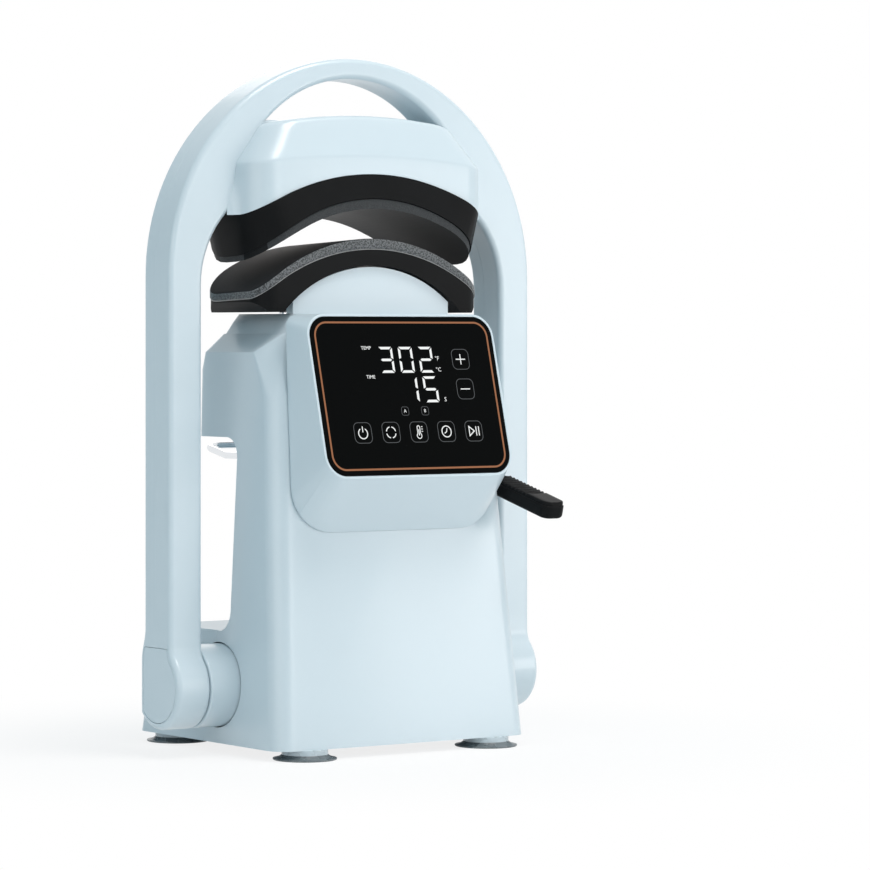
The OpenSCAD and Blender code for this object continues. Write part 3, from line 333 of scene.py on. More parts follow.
def finishes(look):
    """Every finish of the press, by its short name."""
    return {
        "shell": moulded_abs(look),
        "black": textured_black(look),
        "foam": cut_foam(look),
        "skin": pressed_skin(look),
        "heater": coated_heater("aluminium_coated_rim", look.rim),
        "press_face_painted_shade": coated_heater("aluminium_coated_face_painted_shade", look.coat),
        # A bright grey sheet edge under the pad: partly a real sheet, partly a painted highlight along the
        # platen's top front edge
        "sheet": cast_metal("aluminium_sheet_edge", linear("#9c9d9d"), 0.6, 0.4, 1.5),
        "glass": touch_glass(look),
        "light": lit_print("print_lit_copper", look.light, 1.0),
        "figure": lit_print("print_lit_white", look.figure, 0.95),
        "key_line": lit_print("print_dim_grey", linear("#5a5d5f"), 0.9),
        "chrome": drawn_chrome(look),
        "steel": plain_steel(look),
        "foot": suction_rubber("pvc_clear_neck", look.foot),
        "foot_lip": suction_rubber("pvc_clear_lip_painted_shade", look.lip),
        "pan": cast_metal("steel_powder_coated", linear("#9fb4c0"), 0.0, 0.55, 0.8),
        "bronze": cast_metal("bronze_sintered", linear("#b58a4a"), 1.0, 0.42, 0.5),
        "motor": cast_metal("zinc_cast_painted", linear("#3a3d40"), 0.0, 0.5, 0.8),
        "element": cast_metal("steel_tube_heat_tinted", linear("#8d7a66"), 1.0, 0.4, 1.0),
        "board": plain_plastic("epoxy_board_green", linear("#1f5d3a"), 0.4, 3.0),
        "lining": plain_plastic("friction_lining", linear("#4a3b30"), 0.8, 0.8),
        "cam": plain_plastic("acetal_natural", linear("#d8d4c4"), 0.35, 6.0),
        "ceramic": plain_plastic("steatite_fired", linear("#b9a88c"), 0.6, 2.0),
    }


FINISH = {}

# Shells that are moulded afresh below
OWN_SHAPES = ("arch_front_shell", "arch_rear_shell", "leg_cover_left", "leg_cover_right", "head_front_cover")


def dress(thing, finish):
    """Gives an object one finish over all its faces."""
    thing.data.materials.clear()
    thing.data.materials.append(FINISH[finish])


# Meshes


def piece(name, mesh, body, finish, slot, *nodes):
    """A new object that rides on a body, in one finish, and stands for the named nodes."""
    made = bpy.data.objects.new(name, mesh)
    bpy.context.scene.collection.objects.link(made)
    mesh.materials.append(FINISH[finish])
    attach(made, body)
    if nodes:
        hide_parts(*nodes)
    return made


def body_of(node):
    """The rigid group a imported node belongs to."""
    return next(b for b, names in frame["record"]["behaviour"]["bodies"].items() if node in names)


def slot_of(node):
    return next(p["material_slot"] for p in frame["record"]["subparts"] if p["node"] == node)


def baked(name, bm):
    """The mesh of a bmesh that is no longer needed."""
    mesh = bpy.data.meshes.new(name)
    bm.to_mesh(mesh)
    bm.free()
    return mesh


def softened(node, edge, angle=28, segments=3):
    """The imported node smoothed, with the edges that turn more than an angle rounded as moulded."""
    source = frame["nodes"][node]
    bm = bmesh.new()
    bm.from_mesh(source.data)
    bmesh.ops.remove_doubles(bm, verts=bm.verts, dist=0.004 * MM)
    bmesh.ops.dissolve_limit(bm, angle_limit=math.radians(0.4), verts=bm.verts, edges=bm.edges)
    mesh = baked(node + "_soft", bm)
    mesh.shade_smooth()
    mesh.set_sharp_from_angle(angle=math.radians(angle))
    finish = next(f for f, names in FINISH_NODES.items() if node in names.split())
    made = piece(node + "_soft", mesh, body_of(node), finish, slot_of(node), node)
    bevel = made.modifiers.new("edge", "BEVEL")
    bevel.width = edge
    bevel.segments = segments
    bevel.limit_method = "ANGLE"
    bevel.angle_limit = math.radians(angle)
    bevel.harden_normals = True
    return made


def axes(origin, first, second, third):
    """Place with its own origin and axes."""
    return Matrix.Translation(origin) @ Matrix((first, second, third)).transposed().to_4x4()


def arc(centre, radius, start, end, steps=16):
    """Points of an arc in a plane, between two angles in degrees."""
    turns = [math.radians(start + (end - start) * i / steps) for i in range(steps + 1)]
    return [(centre[0] + radius * math.cos(t), centre[1] + radius * math.sin(t)) for t in turns]


def sideways(loop, i, cuts):
    """Direction into the material at a point of an outline that runs round it anticlockwise."""
    count = len(loop)
    normals = []
    for a, b in ((i - 1) % count, i), (i, (i + 1) % count):
        if a not in cuts:
            along = (Vector(loop[b]) - Vector(loop[a])).normalized()
            normals.append(Vector((-along.y, along.x)))
    if len(normals) == 1:
        return normals[0], normals[0]
    both = normals[0] + normals[1]
    return both / max(1 + normals[0].dot(normals[1]), 0.2), both.normalized()


def inset_loop(loop, distance, cuts=()):
    """The outline moved into its material by a distance."""
    moved = []
    for i, (x, y) in enumerate(loop):
        offset = sideways(loop, i, cuts)[0] * distance
        moved.append((x + offset.x, y + offset.y))
    return moved


def below(loop, height):
    """The part of an outline under a height, closed by a straight edge."""
    kept = []
    for (x0, y0), (x1, y1) in zip(loop, loop[1:] + loop[:1]):
        if y0 <= height:
            kept.append((x0, y0))
        if (y0 - height) * (y1 - height) < 0:
            share = (height - y0) / (y1 - y0)
            kept.append((x0 + (x1 - x0) * share, height))
    return kept


def slab(name, loops, faces, edges, place, cuts=(), hole_edge=None, steps=6):
    """A moulding between two faces: outlines in its plane, each face's edge rounded, normals exact.

    The first loop is the outside, run anticlockwise; the rest are holes, run clockwise. Segments of
    the outside listed in cuts are plain cuts, where another moulding goes on.
    """
    quarter = [math.pi / 2 * i / steps for i in range(steps + 1)]
    bm = bmesh.new()
    normals = []
    rims = ([], [])
    turn = place.to_3x3()
    for number, loop in enumerate(loops):
        skip = cuts if number == 0 else ()
        low_r, high_r = edges if number == 0 or hole_edge is None else (hole_edge, hole_edge)
        # Rings from the low face to the high one: inset, depth, share of the side's normal, face's sign
        rings = []
        for face, r, sign, turns in ((faces[0], low_r, -1, quarter), (faces[1], high_r, 1, quarter[::-1])):
            for a in turns:
                rings.append((r * (1 - math.sin(a)), face - sign * r * (1 - math.cos(a)), a, sign))
        ways = [sideways(loop, i, skip) for i in range(len(loop))]
        rows = []
        for inset, depth, a, sign in rings:
            row = []
            for (x, y), (offset, inward) in zip(loop, ways):
                row.append(bm.verts.new(place @ Vector((x + offset.x * inset, y + offset.y * inset, depth))))
                flat = -inward * math.sin(a)
                normals.append(turn @ Vector((flat.x, flat.y, sign * math.cos(a))))
            rows.append(row)
        for low, high in zip(rows, rows[1:]):
            for i in range(len(loop)):
                j = (i + 1) % len(loop)
                bm.faces.new((low[i], low[j], high[j], high[i]))
        for rim, row in zip(rims, (rows[0], rows[-1])):
            rim.extend(bm.edges.get((row[i], row[(i + 1) % len(row)])) for i in range(len(row)))
    for rim in rims:
        bmesh.ops.triangle_fill(bm, use_beauty=True, edges=rim)
    bmesh.ops.recalc_face_normals(bm, faces=bm.faces)
    mesh = baked(name, bm)
    mesh.shade_smooth()
    mesh.normals_split_custom_set_from_vertices(normals)
    return mesh


def skin(name, rows, closed=False, finish_rows=None):
    """A smooth mesh through rows of points; finish_rows gives each band between rows its material slot."""
    bm = bmesh.new()
    grid = [[bm.verts.new(point) for point in row] for row in rows]
    count = len(rows[0])
    for band, (low, high) in enumerate(zip(grid, grid[1:])):
        for i in range(count if closed else count - 1):
            j = (i + 1) % count
            face = bm.faces.new((low[i], low[j], high[j], high[i]))
            face.material_index = finish_rows[band] if finish_rows else 0
    if closed:
        # A ring is a front edge and a back edge of paired points, so its cap is a row of quads
        for ring, slot in ((grid[0], 0), (grid[-1], finish_rows[-1] if finish_rows else 0)):
            for i in range(count // 2 - 1):
                face = bm.faces.new((ring[i], ring[i + 1], ring[count - 2 - i], ring[count - 1 - i]))
                face.material_index = slot
    bmesh.ops.remove_doubles(bm, verts=bm.verts, dist=0.002 * MM)
    bmesh.ops.recalc_face_normals(bm, faces=bm.faces)
    mesh = baked(name, bm)
    mesh.shade_smooth()
    return mesh


def plan_edge(half, front, corner, across=40, turn=10):
    """Front edge of a rounded rectangle seen from above, from its left end to its right one."""
    left = [(-half + corner * (1 - math.cos(a)), -front + corner * (1 - math.sin(a)))
            for a in (math.pi / 2 * i / turn for i in range(turn + 1))]
    straight = [(-(half - corner) * (1 - 2 * i / across), -front) for i in range(1, across)]
    return left + straight + [(-x, y) for x, y in reversed(left)]


def plan_ring(half, front, back, corners, inset, height, fall=0.0):
    """Ring round a rounded rectangle, moved in by an inset; its height follows X and falls to the back."""
    edge = plan_edge(half - inset, front - inset, corners[0] - inset)
    rear = [(x, -y) for x, y in plan_edge(half - inset, back - inset, corners[1] - inset)]
    return [(x, AXIS_Y + y, height(x) - fall * (y + front)) for x, y in edge + rear[::-1]]


def bow(crest, radius):
    """Height along X of an arc with its highest point at X 0."""
    return lambda x: crest - radius + math.sqrt(max(radius**2 - x**2, 0))


# Operators


def seen_white(tree):
    """1 for the rays that should find a white background: the camera's, mirrored and refracted ones."""
    path = add(tree, "ShaderNodeLightPath").outputs
    either = path["Is Camera Ray"]
    for ray in ("Is Glossy Ray", "Is Transmission Ray"):
        either = add(tree, "ShaderNodeMath", {0: either, 1: path[ray]}, operation="MAXIMUM").outputs[0]
    return either


class CapPressOperator:
    bl_options = {"REGISTER"}

    def execute(self, context):
        self.build(context.scene.cap_press_sizes, context.scene.cap_press_colours)
        return {"FINISHED"}


class CAPPRESS_OT_stage(CapPressOperator, bpy.types.Operator):
    """Adds the camera, the lamps, the floor and the background"""

    bl_idname = "cappress.stage"
    bl_label = "Stage"

    # The camera's sensor and lens, and the picture's shift as shares of its width
    sensor_mm, lens_mm = 36, 158.2
    shift = (0.1074, -0.115)
    # Radii on the floor between which its shadow fades out, in metres
    shadow_in, shadow_out = 0.14, 0.42

    def build(self, sizes, look):
        scene = bpy.context.scene
        scene.view_settings.view_transform = "Standard"
        eye = bpy.data.cameras.new("eye")
        eye.sensor_width = self.sensor_mm
        eye.lens = self.lens_mm
        eye.shift_x, eye.shift_y = self.shift
        eye.clip_end = 20
        camera = bpy.data.objects.new("eye", eye)
        turn = sizes.eye_turn
        away = sizes.eye_away
        camera.location = (-math.sin(turn) * away, AXIS_Y - math.cos(turn) * away, sizes.eye_height)
        camera.rotation_euler = (math.pi / 2, 0, -turn)
        scene.collection.objects.link(camera)
        scene.camera = camera
        self.lamps(scene)
        self.surround(scene)

    def lamps(self, scene):
        # name, place, size, power: all stay out of the mirror image in the sloped glass
        for name, place, size, power in (
            ("key", (0.3, -0.75, 2.2), 1.0, 30),
            ("front", (0.5, -2.3, 0.35), 1.0, 7),
            ("near", (0.85, -0.95, 0.25), 0.5, 2.6),
            ("fill", (-1.9, -0.9, 0.4), 1.6, 10),
            ("back", (0.9, 1.6, 1.1), 1.0, 3),
        ):
            lamp = bpy.data.lights.new(name, "AREA")
            lamp.energy = power
            lamp.size = size
            lamp.color = WARM
            holder = bpy.data.objects.new(name, lamp)
            holder.location = place
            aim = Vector((0, 0, 0.25)) - Vector(place)
            holder.rotation_euler = aim.to_track_quat("-Z", "Y").to_euler()
            scene.collection.objects.link(holder)

    def surround(self, scene):
        world = bpy.data.worlds.new("studio")
        world.use_nodes = True
        tree = world.node_tree
        tree.nodes.clear()
        seen = seen_white(tree)
        soft = add(tree, "ShaderNodeBackground", {"Color": (0.55, 0.86, 1.0, 1), "Strength": 0.46})
        white = add(tree, "ShaderNodeBackground", {"Color": (1, 1, 1, 1), "Strength": 1.0})
        mix = add(tree, "ShaderNodeMixShader", {0: seen, 1: soft.outputs[0], 2: white.outputs[0]})
        add(tree, "ShaderNodeOutputWorld", {"Surface": mix.outputs[0]})
        scene.world = world
        floor = bpy.data.meshes.new("floor")
        floor.from_pydata([(-3, -3, 0), (3, -3, 0), (3, 3, 0), (-3, 3, 0)], [], [(0, 1, 2, 3)])
        ground = bpy.data.objects.new("floor", floor)
        scene.collection.objects.link(ground)
        paper = bpy.data.materials.new("paper_white")
        paper.use_nodes = True
        tree = paper.node_tree
        tree.nodes.clear()
        # Near the feet the paper takes the shadow; farther out it fades into the white background
        place = add(tree, "ShaderNodeTexCoord").outputs["Object"]
        away = add(tree, "ShaderNodeVectorMath", {0: place}, operation="LENGTH").outputs["Value"]
        fade = {"Value": away, "From Min": self.shadow_in, "From Max": self.shadow_out, "To Min": 0.82}
        share = add(tree, "ShaderNodeMapRange", fade, interpolation_type="SMOOTHSTEP").outputs["Result"]
        part = add(tree, "ShaderNodeMath", {0: seen_white(tree), 1: share}, operation="MULTIPLY")
        lit = add(tree, "ShaderNodeBsdfDiffuse", {"Color": (0.9, 0.9, 0.9, 1)})
        white = add(tree, "ShaderNodeEmission", {"Color": (1, 1, 1, 1), "Strength": 1.0})
        mix = add(tree, "ShaderNodeMixShader", {0: part.outputs[0], 1: lit.outputs[0], 2: white.outputs[0]})
        add(tree, "ShaderNodeOutputMaterial", {"Surface": mix.outputs[0]})
        floor.materials.append(paper)


class CAPPRESS_OT_nodes(CapPressOperator, bpy.types.Operator):
    """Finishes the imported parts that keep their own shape"""

    bl_idname = "cappress.nodes"
    bl_label = "Packed parts"

    def build(self, sizes, look):
        FINISH.update(finishes(look))
        for finish, names in FINISH_NODES.items():
            for name in names.split():
                dress(frame["nodes"][name], finish)
        dress(frame["nodes"]["foam_pad"], "foam")


class CAPPRESS_OT_arch(CapPressOperator, bpy.types.Operator):
    """Moulds the arch's two shells, its leg ends and their covers"""

    bl_idname = "cappress.arch"
    bl_label = "Arch"

    def build(self, sizes, look):
        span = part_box("arch_front_shell")
        radius = (span[1][0] - span[0][0]) / 2
        crown = span[1][2] - radius
        half = sizes.arch_depth / 2
        inner = radius - sizes.leg
        bend = inner - sizes.opening
        join = sizes.join
        # Outside up the right leg and down the left one, then up and over the opening
        outer = arc((0, crown), radius, 0, 180, 72)
        over = arc((-bend, sizes.spring), sizes.opening, 180, 90)
        over += arc((bend, sizes.spring), sizes.opening, 90, 0)
        outline = [(radius, join), *outer, (-radius, join), (-inner, join), *over, (inner, join)]
        cuts = (len(outer) + 1, len(outline) - 1)
        grip = radius - sizes.grip_inset
        grip_z = crown + radius - sizes.grip_bar - grip
        low = math.degrees(math.asin((sizes.grip_floor - grip_z) / grip))
        hold = arc((0, grip_z), grip, 180 - low, low, 40)
        # Points along the hand-hold's floor keep it flat between its corners
        reach = hold[-1][0]
        hold += [(reach * share, sizes.grip_floor) for share in (0.98, 0.9, 0.5, 0, -0.5, -0.9, -0.98)]
        upright = Matrix.Translation((0, AXIS_Y, 0)) @ Matrix.Rotation(math.pi / 2, 4, "X")
        # The moulding's depth runs to the front: the seam lies a little behind the middle
        seam = -sizes.arch_seam
        edges = (sizes.seam, sizes.arch_edge)
        front = slab("arch_front", [outline, hold], (seam, half), edges, upright, cuts)
        piece("arch_front", front, "arch", "shell", "shell", "arch_front_shell")
        rear = slab("arch_rear", [outline, hold], (-half, seam), edges[::-1], upright, cuts)
        piece("arch_rear", rear, "arch", "shell", "shell", "arch_rear_shell")
        for side, name in ((-1, "left"), (1, "right")):
            self.leg_end(sizes, side, name, radius, inner, half, join)

    def leg_end(self, sizes, side, name, radius, inner, half, join):
        """The leg's end round the pivot: a disc that a fillet leads into, with a cover let in outside."""
        hub = (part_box("pivot_hub_" + name)[1][2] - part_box("pivot_hub_" + name)[0][2]) / 2
        fillet = sizes.hub_fillet
        fillet_z = PIVOT_Z + math.sqrt((hub + fillet) ** 2 - (half + fillet) ** 2)
        touch = math.degrees(math.atan2(fillet_z - PIVOT_Z, half + fillet))
        bulge = sizes.leg_bulge
        meet = math.degrees(math.acos(bulge / hub))
        # Drawn from the side: first axis to the back, second up
        neck = arc((-half - fillet, fillet_z), fillet, 0, -touch, 8)
        disc = arc((0, PIVOT_Z), hub, 180 - touch, 360 - meet, 40)[1:]
        rise = PIVOT_Z + hub * math.sin(math.radians(meet))
        # The swell of the leg's back dies out a little under the join
        swell = []
        end = join - 4 * MM
        for i in range(17):
            share = i / 16
            out = half + (bulge - half) * (0.5 + 0.5 * math.cos(math.pi * share))
            swell.append((out, rise + (end - rise) * share))
        outline = [(-half, join), *neck, *disc, *swell, (half, join)]
        # The moulding's depth runs along X: its first axis is Y, its second Z
        place = Matrix(((0, 0, 1, 0), (1, 0, 0, AXIS_Y), (0, 1, 0, 0), (0, 0, 0, 1)))
        faces = (side * radius, side * inner) if side < 0 else (inner, radius)
        cuts = (len(outline) - 1,)
        # The cover's seat starts just inside the rounded edge
        edge = sizes.arch_edge
        rim = edge + 0.4 * MM
        seat = below(inset_loop(outline, rim, cuts), sizes.cover_top)
        loops = [outline, seat[::-1]]
        mesh = slab("leg_end", loops, faces, (edge, edge), place, cuts, hole_edge=sizes.seam)
        piece("leg_end_" + name, mesh, "arch", "shell", "shell")
        # The cover lies flush in its seat with a thin gap all round
        lid = below(inset_loop(outline, rim + sizes.seam, cuts), sizes.cover_top - sizes.seam)
        depth = 3 * MM
        faces = (-radius, depth - radius) if side < 0 else (radius - depth, radius)
        cover = slab("leg_cover", [lid], faces, (sizes.seam, sizes.seam), place)
        piece("leg_cover_plate_" + name, cover, "arch", "shell", "shell", "leg_cover_" + name)


class CAPPRESS_OT_head(CapPressOperator, bpy.types.Operator):
    """Moulds the head's front cover: an upright band, a soft break and a sloped upper face"""

    bl_idname = "cappress.head"
    bl_label = "Head cover"

    def build(self, sizes, look):
        low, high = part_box("head_front_cover")
        half, front, top = high[0], AXIS_Y - low[1], high[2]
        wall = AXIS_Y - high[1]
        crown, lip = sizes.head_crown, sizes.head_lip
        shroud_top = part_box("heater_shroud")[1][2]
        gap = 0.3 * MM
        hem = bow(shroud_top + gap, sizes.shroud_r)
        slope_w, slope_y = half - sizes.head_top_half, front - sizes.head_top_front

        def fold(x):
            return sizes.head_break + crown * (1 - min((x / half) ** 2, 1))

        def ridge(x):
            return top - crown * min((x / sizes.head_top_half) ** 2, 1.3)

        soft = sizes.head_soft
        rise = top - sizes.head_break - crown
        # From the hem up: how far along the slope, how far in from it, and the height across the head
        bands = [(0, 0, lambda x, u=i / 6: hem(x) + (fold(x) - soft - hem(x)) * u) for i in range(7)]
        for i in range(1, 6):
            t = i / 5
            up = soft * t * t
            bands.append((up / rise, 0, lambda x, t=t, up=up: fold(x) - soft * (1 - t) ** 2 + up))
        start = soft / rise
        end = 1 - lip / rise
        slope = [(start + (end - start) * i / 6, 0) for i in range(1, 7)]
        for i in range(1, 6):
            a = math.pi / 2 * i / 5
            slope.append((end + (1 - end) * math.sin(a), lip * (1 - math.cos(a))))
        bands += [(u, inset, lambda x, u=u: fold(x) + (ridge(x) - fold(x)) * u) for u, inset in slope]
        rows = []
        for u, inset, height in bands:
            width, depth = half - slope_w * u - inset, front - slope_y * u - inset
            rows.append(self.row(width, depth, wall, sizes, height))
        rows.append([(x, AXIS_Y - wall, z) for x, y, z in rows[-1]])
        # The cover's back closes it above the hand-hold's floor
        rows.append([(x, y, min(z, sizes.grip_floor - 2 * MM)) for x, y, z in rows[-1]])
        mesh = skin("head_front", rows)
        mesh.set_sharp_from_angle(angle=math.radians(50))
        piece("head_front", mesh, "arch", "shell", "shell", "head_front_cover")

    def row(self, half, front, wall, sizes, height):
        """One row round the cover, from the arch's face on the left to that on the right."""
        edge = plan_edge(half, front, sizes.head_corner)
        side = [(-half, -wall + (edge[0][1] + wall) * i / 5) for i in range(5)]
        path = side + edge + [(-x, y) for x, y in reversed(side)]
        points = []
        for x, y in path:
            z = height(x)
            # Low down, the cover's sides run out into the arch in a small fillet
            near = min(max((y + wall) / sizes.head_flare + 1, 0), 1)
            deep = min(max((sizes.head_break - z) / sizes.head_fade, 0), 1)
            points.append((x + math.copysign(sizes.head_flare * near**2 * deep**2, x), AXIS_Y + y, z))
        return points


class CAPPRESS_OT_pad(CapPressOperator, bpy.types.Operator):
    """Makes the foam pad: a smooth black skin over cut grey sides"""

    bl_idname = "cappress.pad"
    bl_label = "Pad"

    def build(self, sizes, look):
        low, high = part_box("foam_pad")
        half, front, back = high[0], AXIS_Y - low[1], high[1] - AXIS_Y
        tilt = math.tan(sizes.press_tilt)
        corners = sizes.platen_corner, sizes.platen_rear
        top = bow(high[2], sizes.press_r)
        fall = high[2] - sizes.pad_t - (top(half) - sizes.pad_end_t)
        under = bow(high[2] - sizes.pad_t, (half**2 + fall**2) / (2 * fall))
        lip = sizes.pad_lip
        ease = 0.4 * MM
        rings = [(ease, under), (0.0, lambda x: under(x) + ease)]
        rings += [(0.0, lambda x, s=s: under(x) + (top(x) - under(x) - lip) * s) for s in (0.35, 0.7, 1.0)]
        for i in range(1, 5):
            a = math.pi / 2 * i / 4
            rings.append((lip * (1 - math.cos(a)), lambda x, a=a: top(x) - lip * (1 - math.sin(a))))
        rings += [(inset, top) for inset in (lip + 0.8 * MM, lip + 4 * MM)]
        rows = [plan_ring(half, front, back, corners, inset, height, tilt) for inset, height in rings]
        mesh = skin("pad", rows, closed=True, finish_rows=[0] * 6 + [1] * (len(rings) - 7))
        pad = piece("pad", mesh, "platen", "foam", "foam", "foam_pad")
        pad.data.materials.append(FINISH["skin"])
        # The sheet the pad is glued to is drawn bright grey as a painted highlight, for the light caught
        # along the platen's top front edge: it shows as a thin bright line under the foam
        sheet = [plan_ring(half, front, back, corners, inset, lambda x, d=drop: under(x) - d * MM, tilt)
                 for inset, drop in ((3 * MM, 0.08), (0.3 * MM, 0.08), (0.3 * MM, 0.55), (3 * MM, 0.55))]
        piece("pad_sheet", skin("pad_sheet", sheet, closed=True), "platen", "sheet", "cast")


class CAPPRESS_OT_fittings(CapPressOperator, bpy.types.Operator):
    """Eases the edges of the shroud, the platen, the glass, the heater and the metal fittings"""

    bl_idname = "cappress.fittings"
    bl_label = "Fittings"

    def build(self, sizes, look):
        for node in ("heater_shroud", "platen_base"):
            softened(node, sizes.edge)
        for node in ("panel_glass", "power_inlet"):
            softened(node, sizes.fine_edge)
        # The heater's faces that look down are drawn darker than its rim, in the same coat: painted shade on
        # the pressing face
        heater = softened("heater_plate", sizes.fine_edge)
        heater.data.materials.append(FINISH["press_face_painted_shade"])
        for face in heater.data.polygons:
            face.material_index = 1 if face.normal.z < -0.2 else 0
        for node in ("cap_bail", "guide_post_left", "guide_post_right"):
            softened(node, 0.2 * MM, angle=40)


class CAPPRESS_OT_lever(CapPressOperator, bpy.types.Operator):
    """Moulds the hold-down lever: a bar with a round tip, its hub and a ribbed grip"""

    bl_idname = "cappress.lever"
    bl_label = "Lever"

    def build(self, sizes, look):
        low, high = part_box("lever_arm")
        half = (high[0] - low[0]) / 2
        shaft = JOINT["hold_down"]["pos_m"]
        middle = Vector(((low[0] + high[0]) / 2, shaft[1], shaft[2]))
        lean = sizes.lever_droop
        out = Vector((1, 0, 0))
        along = Vector((0, -math.cos(lean), -math.sin(lean)))
        across = Vector((0, -math.sin(lean), math.cos(lean)))
        tip, tip_r, root, hub = sizes.lever_reach, sizes.lever_tip, sizes.lever_root, sizes.lever_hub
        under = -sizes.lever_under
        top = under + sizes.lever_thick
        slot, body = slot_of("lever_arm"), body_of("lever_arm")
        # The bar, seen square to its top
        outline = [(half, root)]
        outline += arc((half - tip_r, tip - tip_r), tip_r, 0, 90)
        outline += arc((tip_r - half, tip - tip_r), tip_r, 90, 180)
        outline.append((-half, root))
        flat = axes(middle, out, along, across)
        edges = (2.5 * MM, 0.7 * MM)
        bar = slab("lever_bar", [outline], (under, top), edges, flat, cuts=(len(outline) - 1,))
        piece("lever_bar", bar, body, "black", slot, "lever_arm")
        # The hub round the shaft, seen from the side, reaches down to the bar
        side = arc((0, 0), hub, -15, 240, 40)
        heel = root + 3 * MM
        side += [(0, under), (heel, under), (heel, top), (root, top)]
        upright = axes(middle, along, across, out)
        boss = slab("lever_hub", [side], (-half, half), (0.8 * MM, 0.8 * MM), upright)
        piece("lever_hub", boss, body, "black", slot)
        self.grip(sizes, flat, half, tip, tip_r, top)

    def grip(self, sizes, flat, half, tip, tip_r, top):
        """The soft grip: shallow bowed ribs for the fingers, smooth towards the tip."""
        inset, edge = 0.8 * MM, 1.0 * MM
        start, end = sizes.lever_grip, tip - inset
        sunk = top - 0.2 * MM
        rows = []
        steps = 110
        for i in range(steps + 1):
            u = start + (end - start) * i / steps
            past = max(u - (tip - tip_r), 0)
            reach = half - tip_r + math.sqrt(max((tip_r - inset) ** 2 - past**2, 0))
            ends = i in (0, steps)
            row = []
            round_in = edge / reach
            # Half of the section, from its foot over the rounded edge to the middle: share of the width, drop
            section = [(1, None), (1, edge), (1 - 0.3 * round_in, 0.3 * edge), (1 - round_in, 0)]
            for x, drop in section + [(0.5, 0), (0.2, 0)]:
                for side in (-1, 1):
                    height = sunk
                    if drop is not None and not ends:
                        height = top + sizes.grip_rise - drop + self.rib(sizes, u, x, start)
                    row.append((side * x * reach, u, height))
            rows.append([flat @ Vector(point) for point in row[::2] + row[::-2]])
        mesh = skin("lever_top", rows)
        mesh.set_sharp_from_angle(angle=math.radians(50))
        piece("lever_top", mesh, body_of("lever_grip"), "black", slot_of("lever_grip"), "lever_grip")

    def rib(self, sizes, u, x, start):
        """Height of the ribs' wave at a place along and across the grip."""
        turn = (u - start + sizes.rib_bow * x**2) / sizes.rib_pitch
        return 0.5 * sizes.rib_depth * (math.cos(2 * math.pi * turn) - 1) if turn < sizes.rib_count else 0.0


class CAPPRESS_OT_feet(CapPressOperator, bpy.types.Operator):
    """Turns the four suction feet: a pale neck over a thin clear lip"""

    bl_idname = "cappress.feet"
    bl_label = "Feet"

    def build(self, sizes, look):
        neck, thick = sizes.foot_neck, sizes.foot_lip
        hollow = thick * 1.4
        turns = [2 * math.pi * i / 64 for i in range(65)]
        for name in FINISH_NODES["foot"].split():
            low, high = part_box(name)
            centre = ((low[0] + high[0]) / 2, (low[1] + high[1]) / 2)
            reach, top = (high[0] - low[0]) / 2, high[2]
            # Section of the foot, from the top of the neck down the outside and back under the lip
            section = [(0.001 * MM, top), (neck, top), (neck, thick * 3.2)]
            for t in (0.15, 0.35, 0.6, 0.85, 0.97):
                section.append((neck + (reach - neck) * t, thick * (1 + 2.2 * (1 - t) ** 2.2)))
            section += [(reach, thick * 0.55), (reach - 0.3 * MM, low[2])]
            section += [(reach * t, hollow * (1 - t**2)) for t in (0.9, 0.6, 0.3)]
            section.append((0.001 * MM, hollow))
            rows = []
            for r, z in section:
                rows.append([(centre[0] + r * math.cos(a), centre[1] + r * math.sin(a), z) for a in turns])
            # Bands below the neck take the lip's darker finish, a painted shade on the same clear PVC
            mesh = skin(name, rows, finish_rows=[0, 0] + [1] * (len(rows) - 3))
            mesh.set_sharp_from_angle(angle=math.radians(40))
            cup = piece(name + "_cup", mesh, "tower", "foot", "foot", name)
            cup.data.materials.append(FINISH["foot_lip"])


# Bars of a seven-bar figure that each digit lights
LIT_BARS = {
    "0": ("top", "right_high", "right_low", "bottom", "left_low", "left_high"),
    "1": ("right_high", "right_low"),
    "2": ("top", "right_high", "middle", "left_low", "bottom"),
    "3": ("top", "right_high", "middle", "right_low", "bottom"),
    "5": ("top", "left_high", "middle", "right_low", "bottom"),
}


def figure_bars(w, h, t, gap):
    """Outlines of the seven bars of a figure w wide and h high, t thick, with a gap between bars."""
    m = h / 2
    top = [(gap, h), (gap + t, h - t), (w - gap - t, h - t), (w - gap, h)]
    side = [(0, h - gap), (0, m + gap), (t, m + gap + t / 2), (t, h - gap - t)]
    middle = [(gap + t / 3, m), (gap + t, m - t / 2), (w - gap - t, m - t / 2), (w - gap - t / 3, m)]
    middle += [(w - gap - t, m + t / 2), (gap + t, m + t / 2)]
    return {
        "top": top,
        "bottom": [(x, h - y) for x, y in reversed(top)],
        "middle": middle,
        "left_high": side,
        "left_low": [(x, h - y) for x, y in reversed(side)],
        "right_high": [(w - x, y) for x, y in reversed(side)],
        "right_low": [(w - x, h - y) for x, y in side],
    }


def line(points, width, closed=False):
    """A drawn line as a row of quads with mitred joints."""
    count = len(points)
    edges = []
    for i, point in enumerate(points):
        before = Vector(points[i - 1]) if closed or i else None
        after = Vector(points[(i + 1) % count]) if closed or i < count - 1 else None
        here = Vector(point)
        steps = (here - before if before else None, after - here if after else None)
        ways = [step.normalized() for step in steps if step]
        along = sum(ways, Vector((0, 0))).normalized()
        across = Vector((-along.y, along.x)) * (width / 2 / max(along.dot(ways[0]), 0.4))
        edges.append((tuple(here + across), tuple(here - across)))
    pairs = list(zip(edges, edges[1:] + edges[:1] if closed else edges[1:]))
    return [[left, right, next_right, next_left] for (left, right), (next_left, next_right) in pairs]


def moved(shapes, u, v):
    return [[(x + u, y + v) for x, y in shape] for shape in shapes]


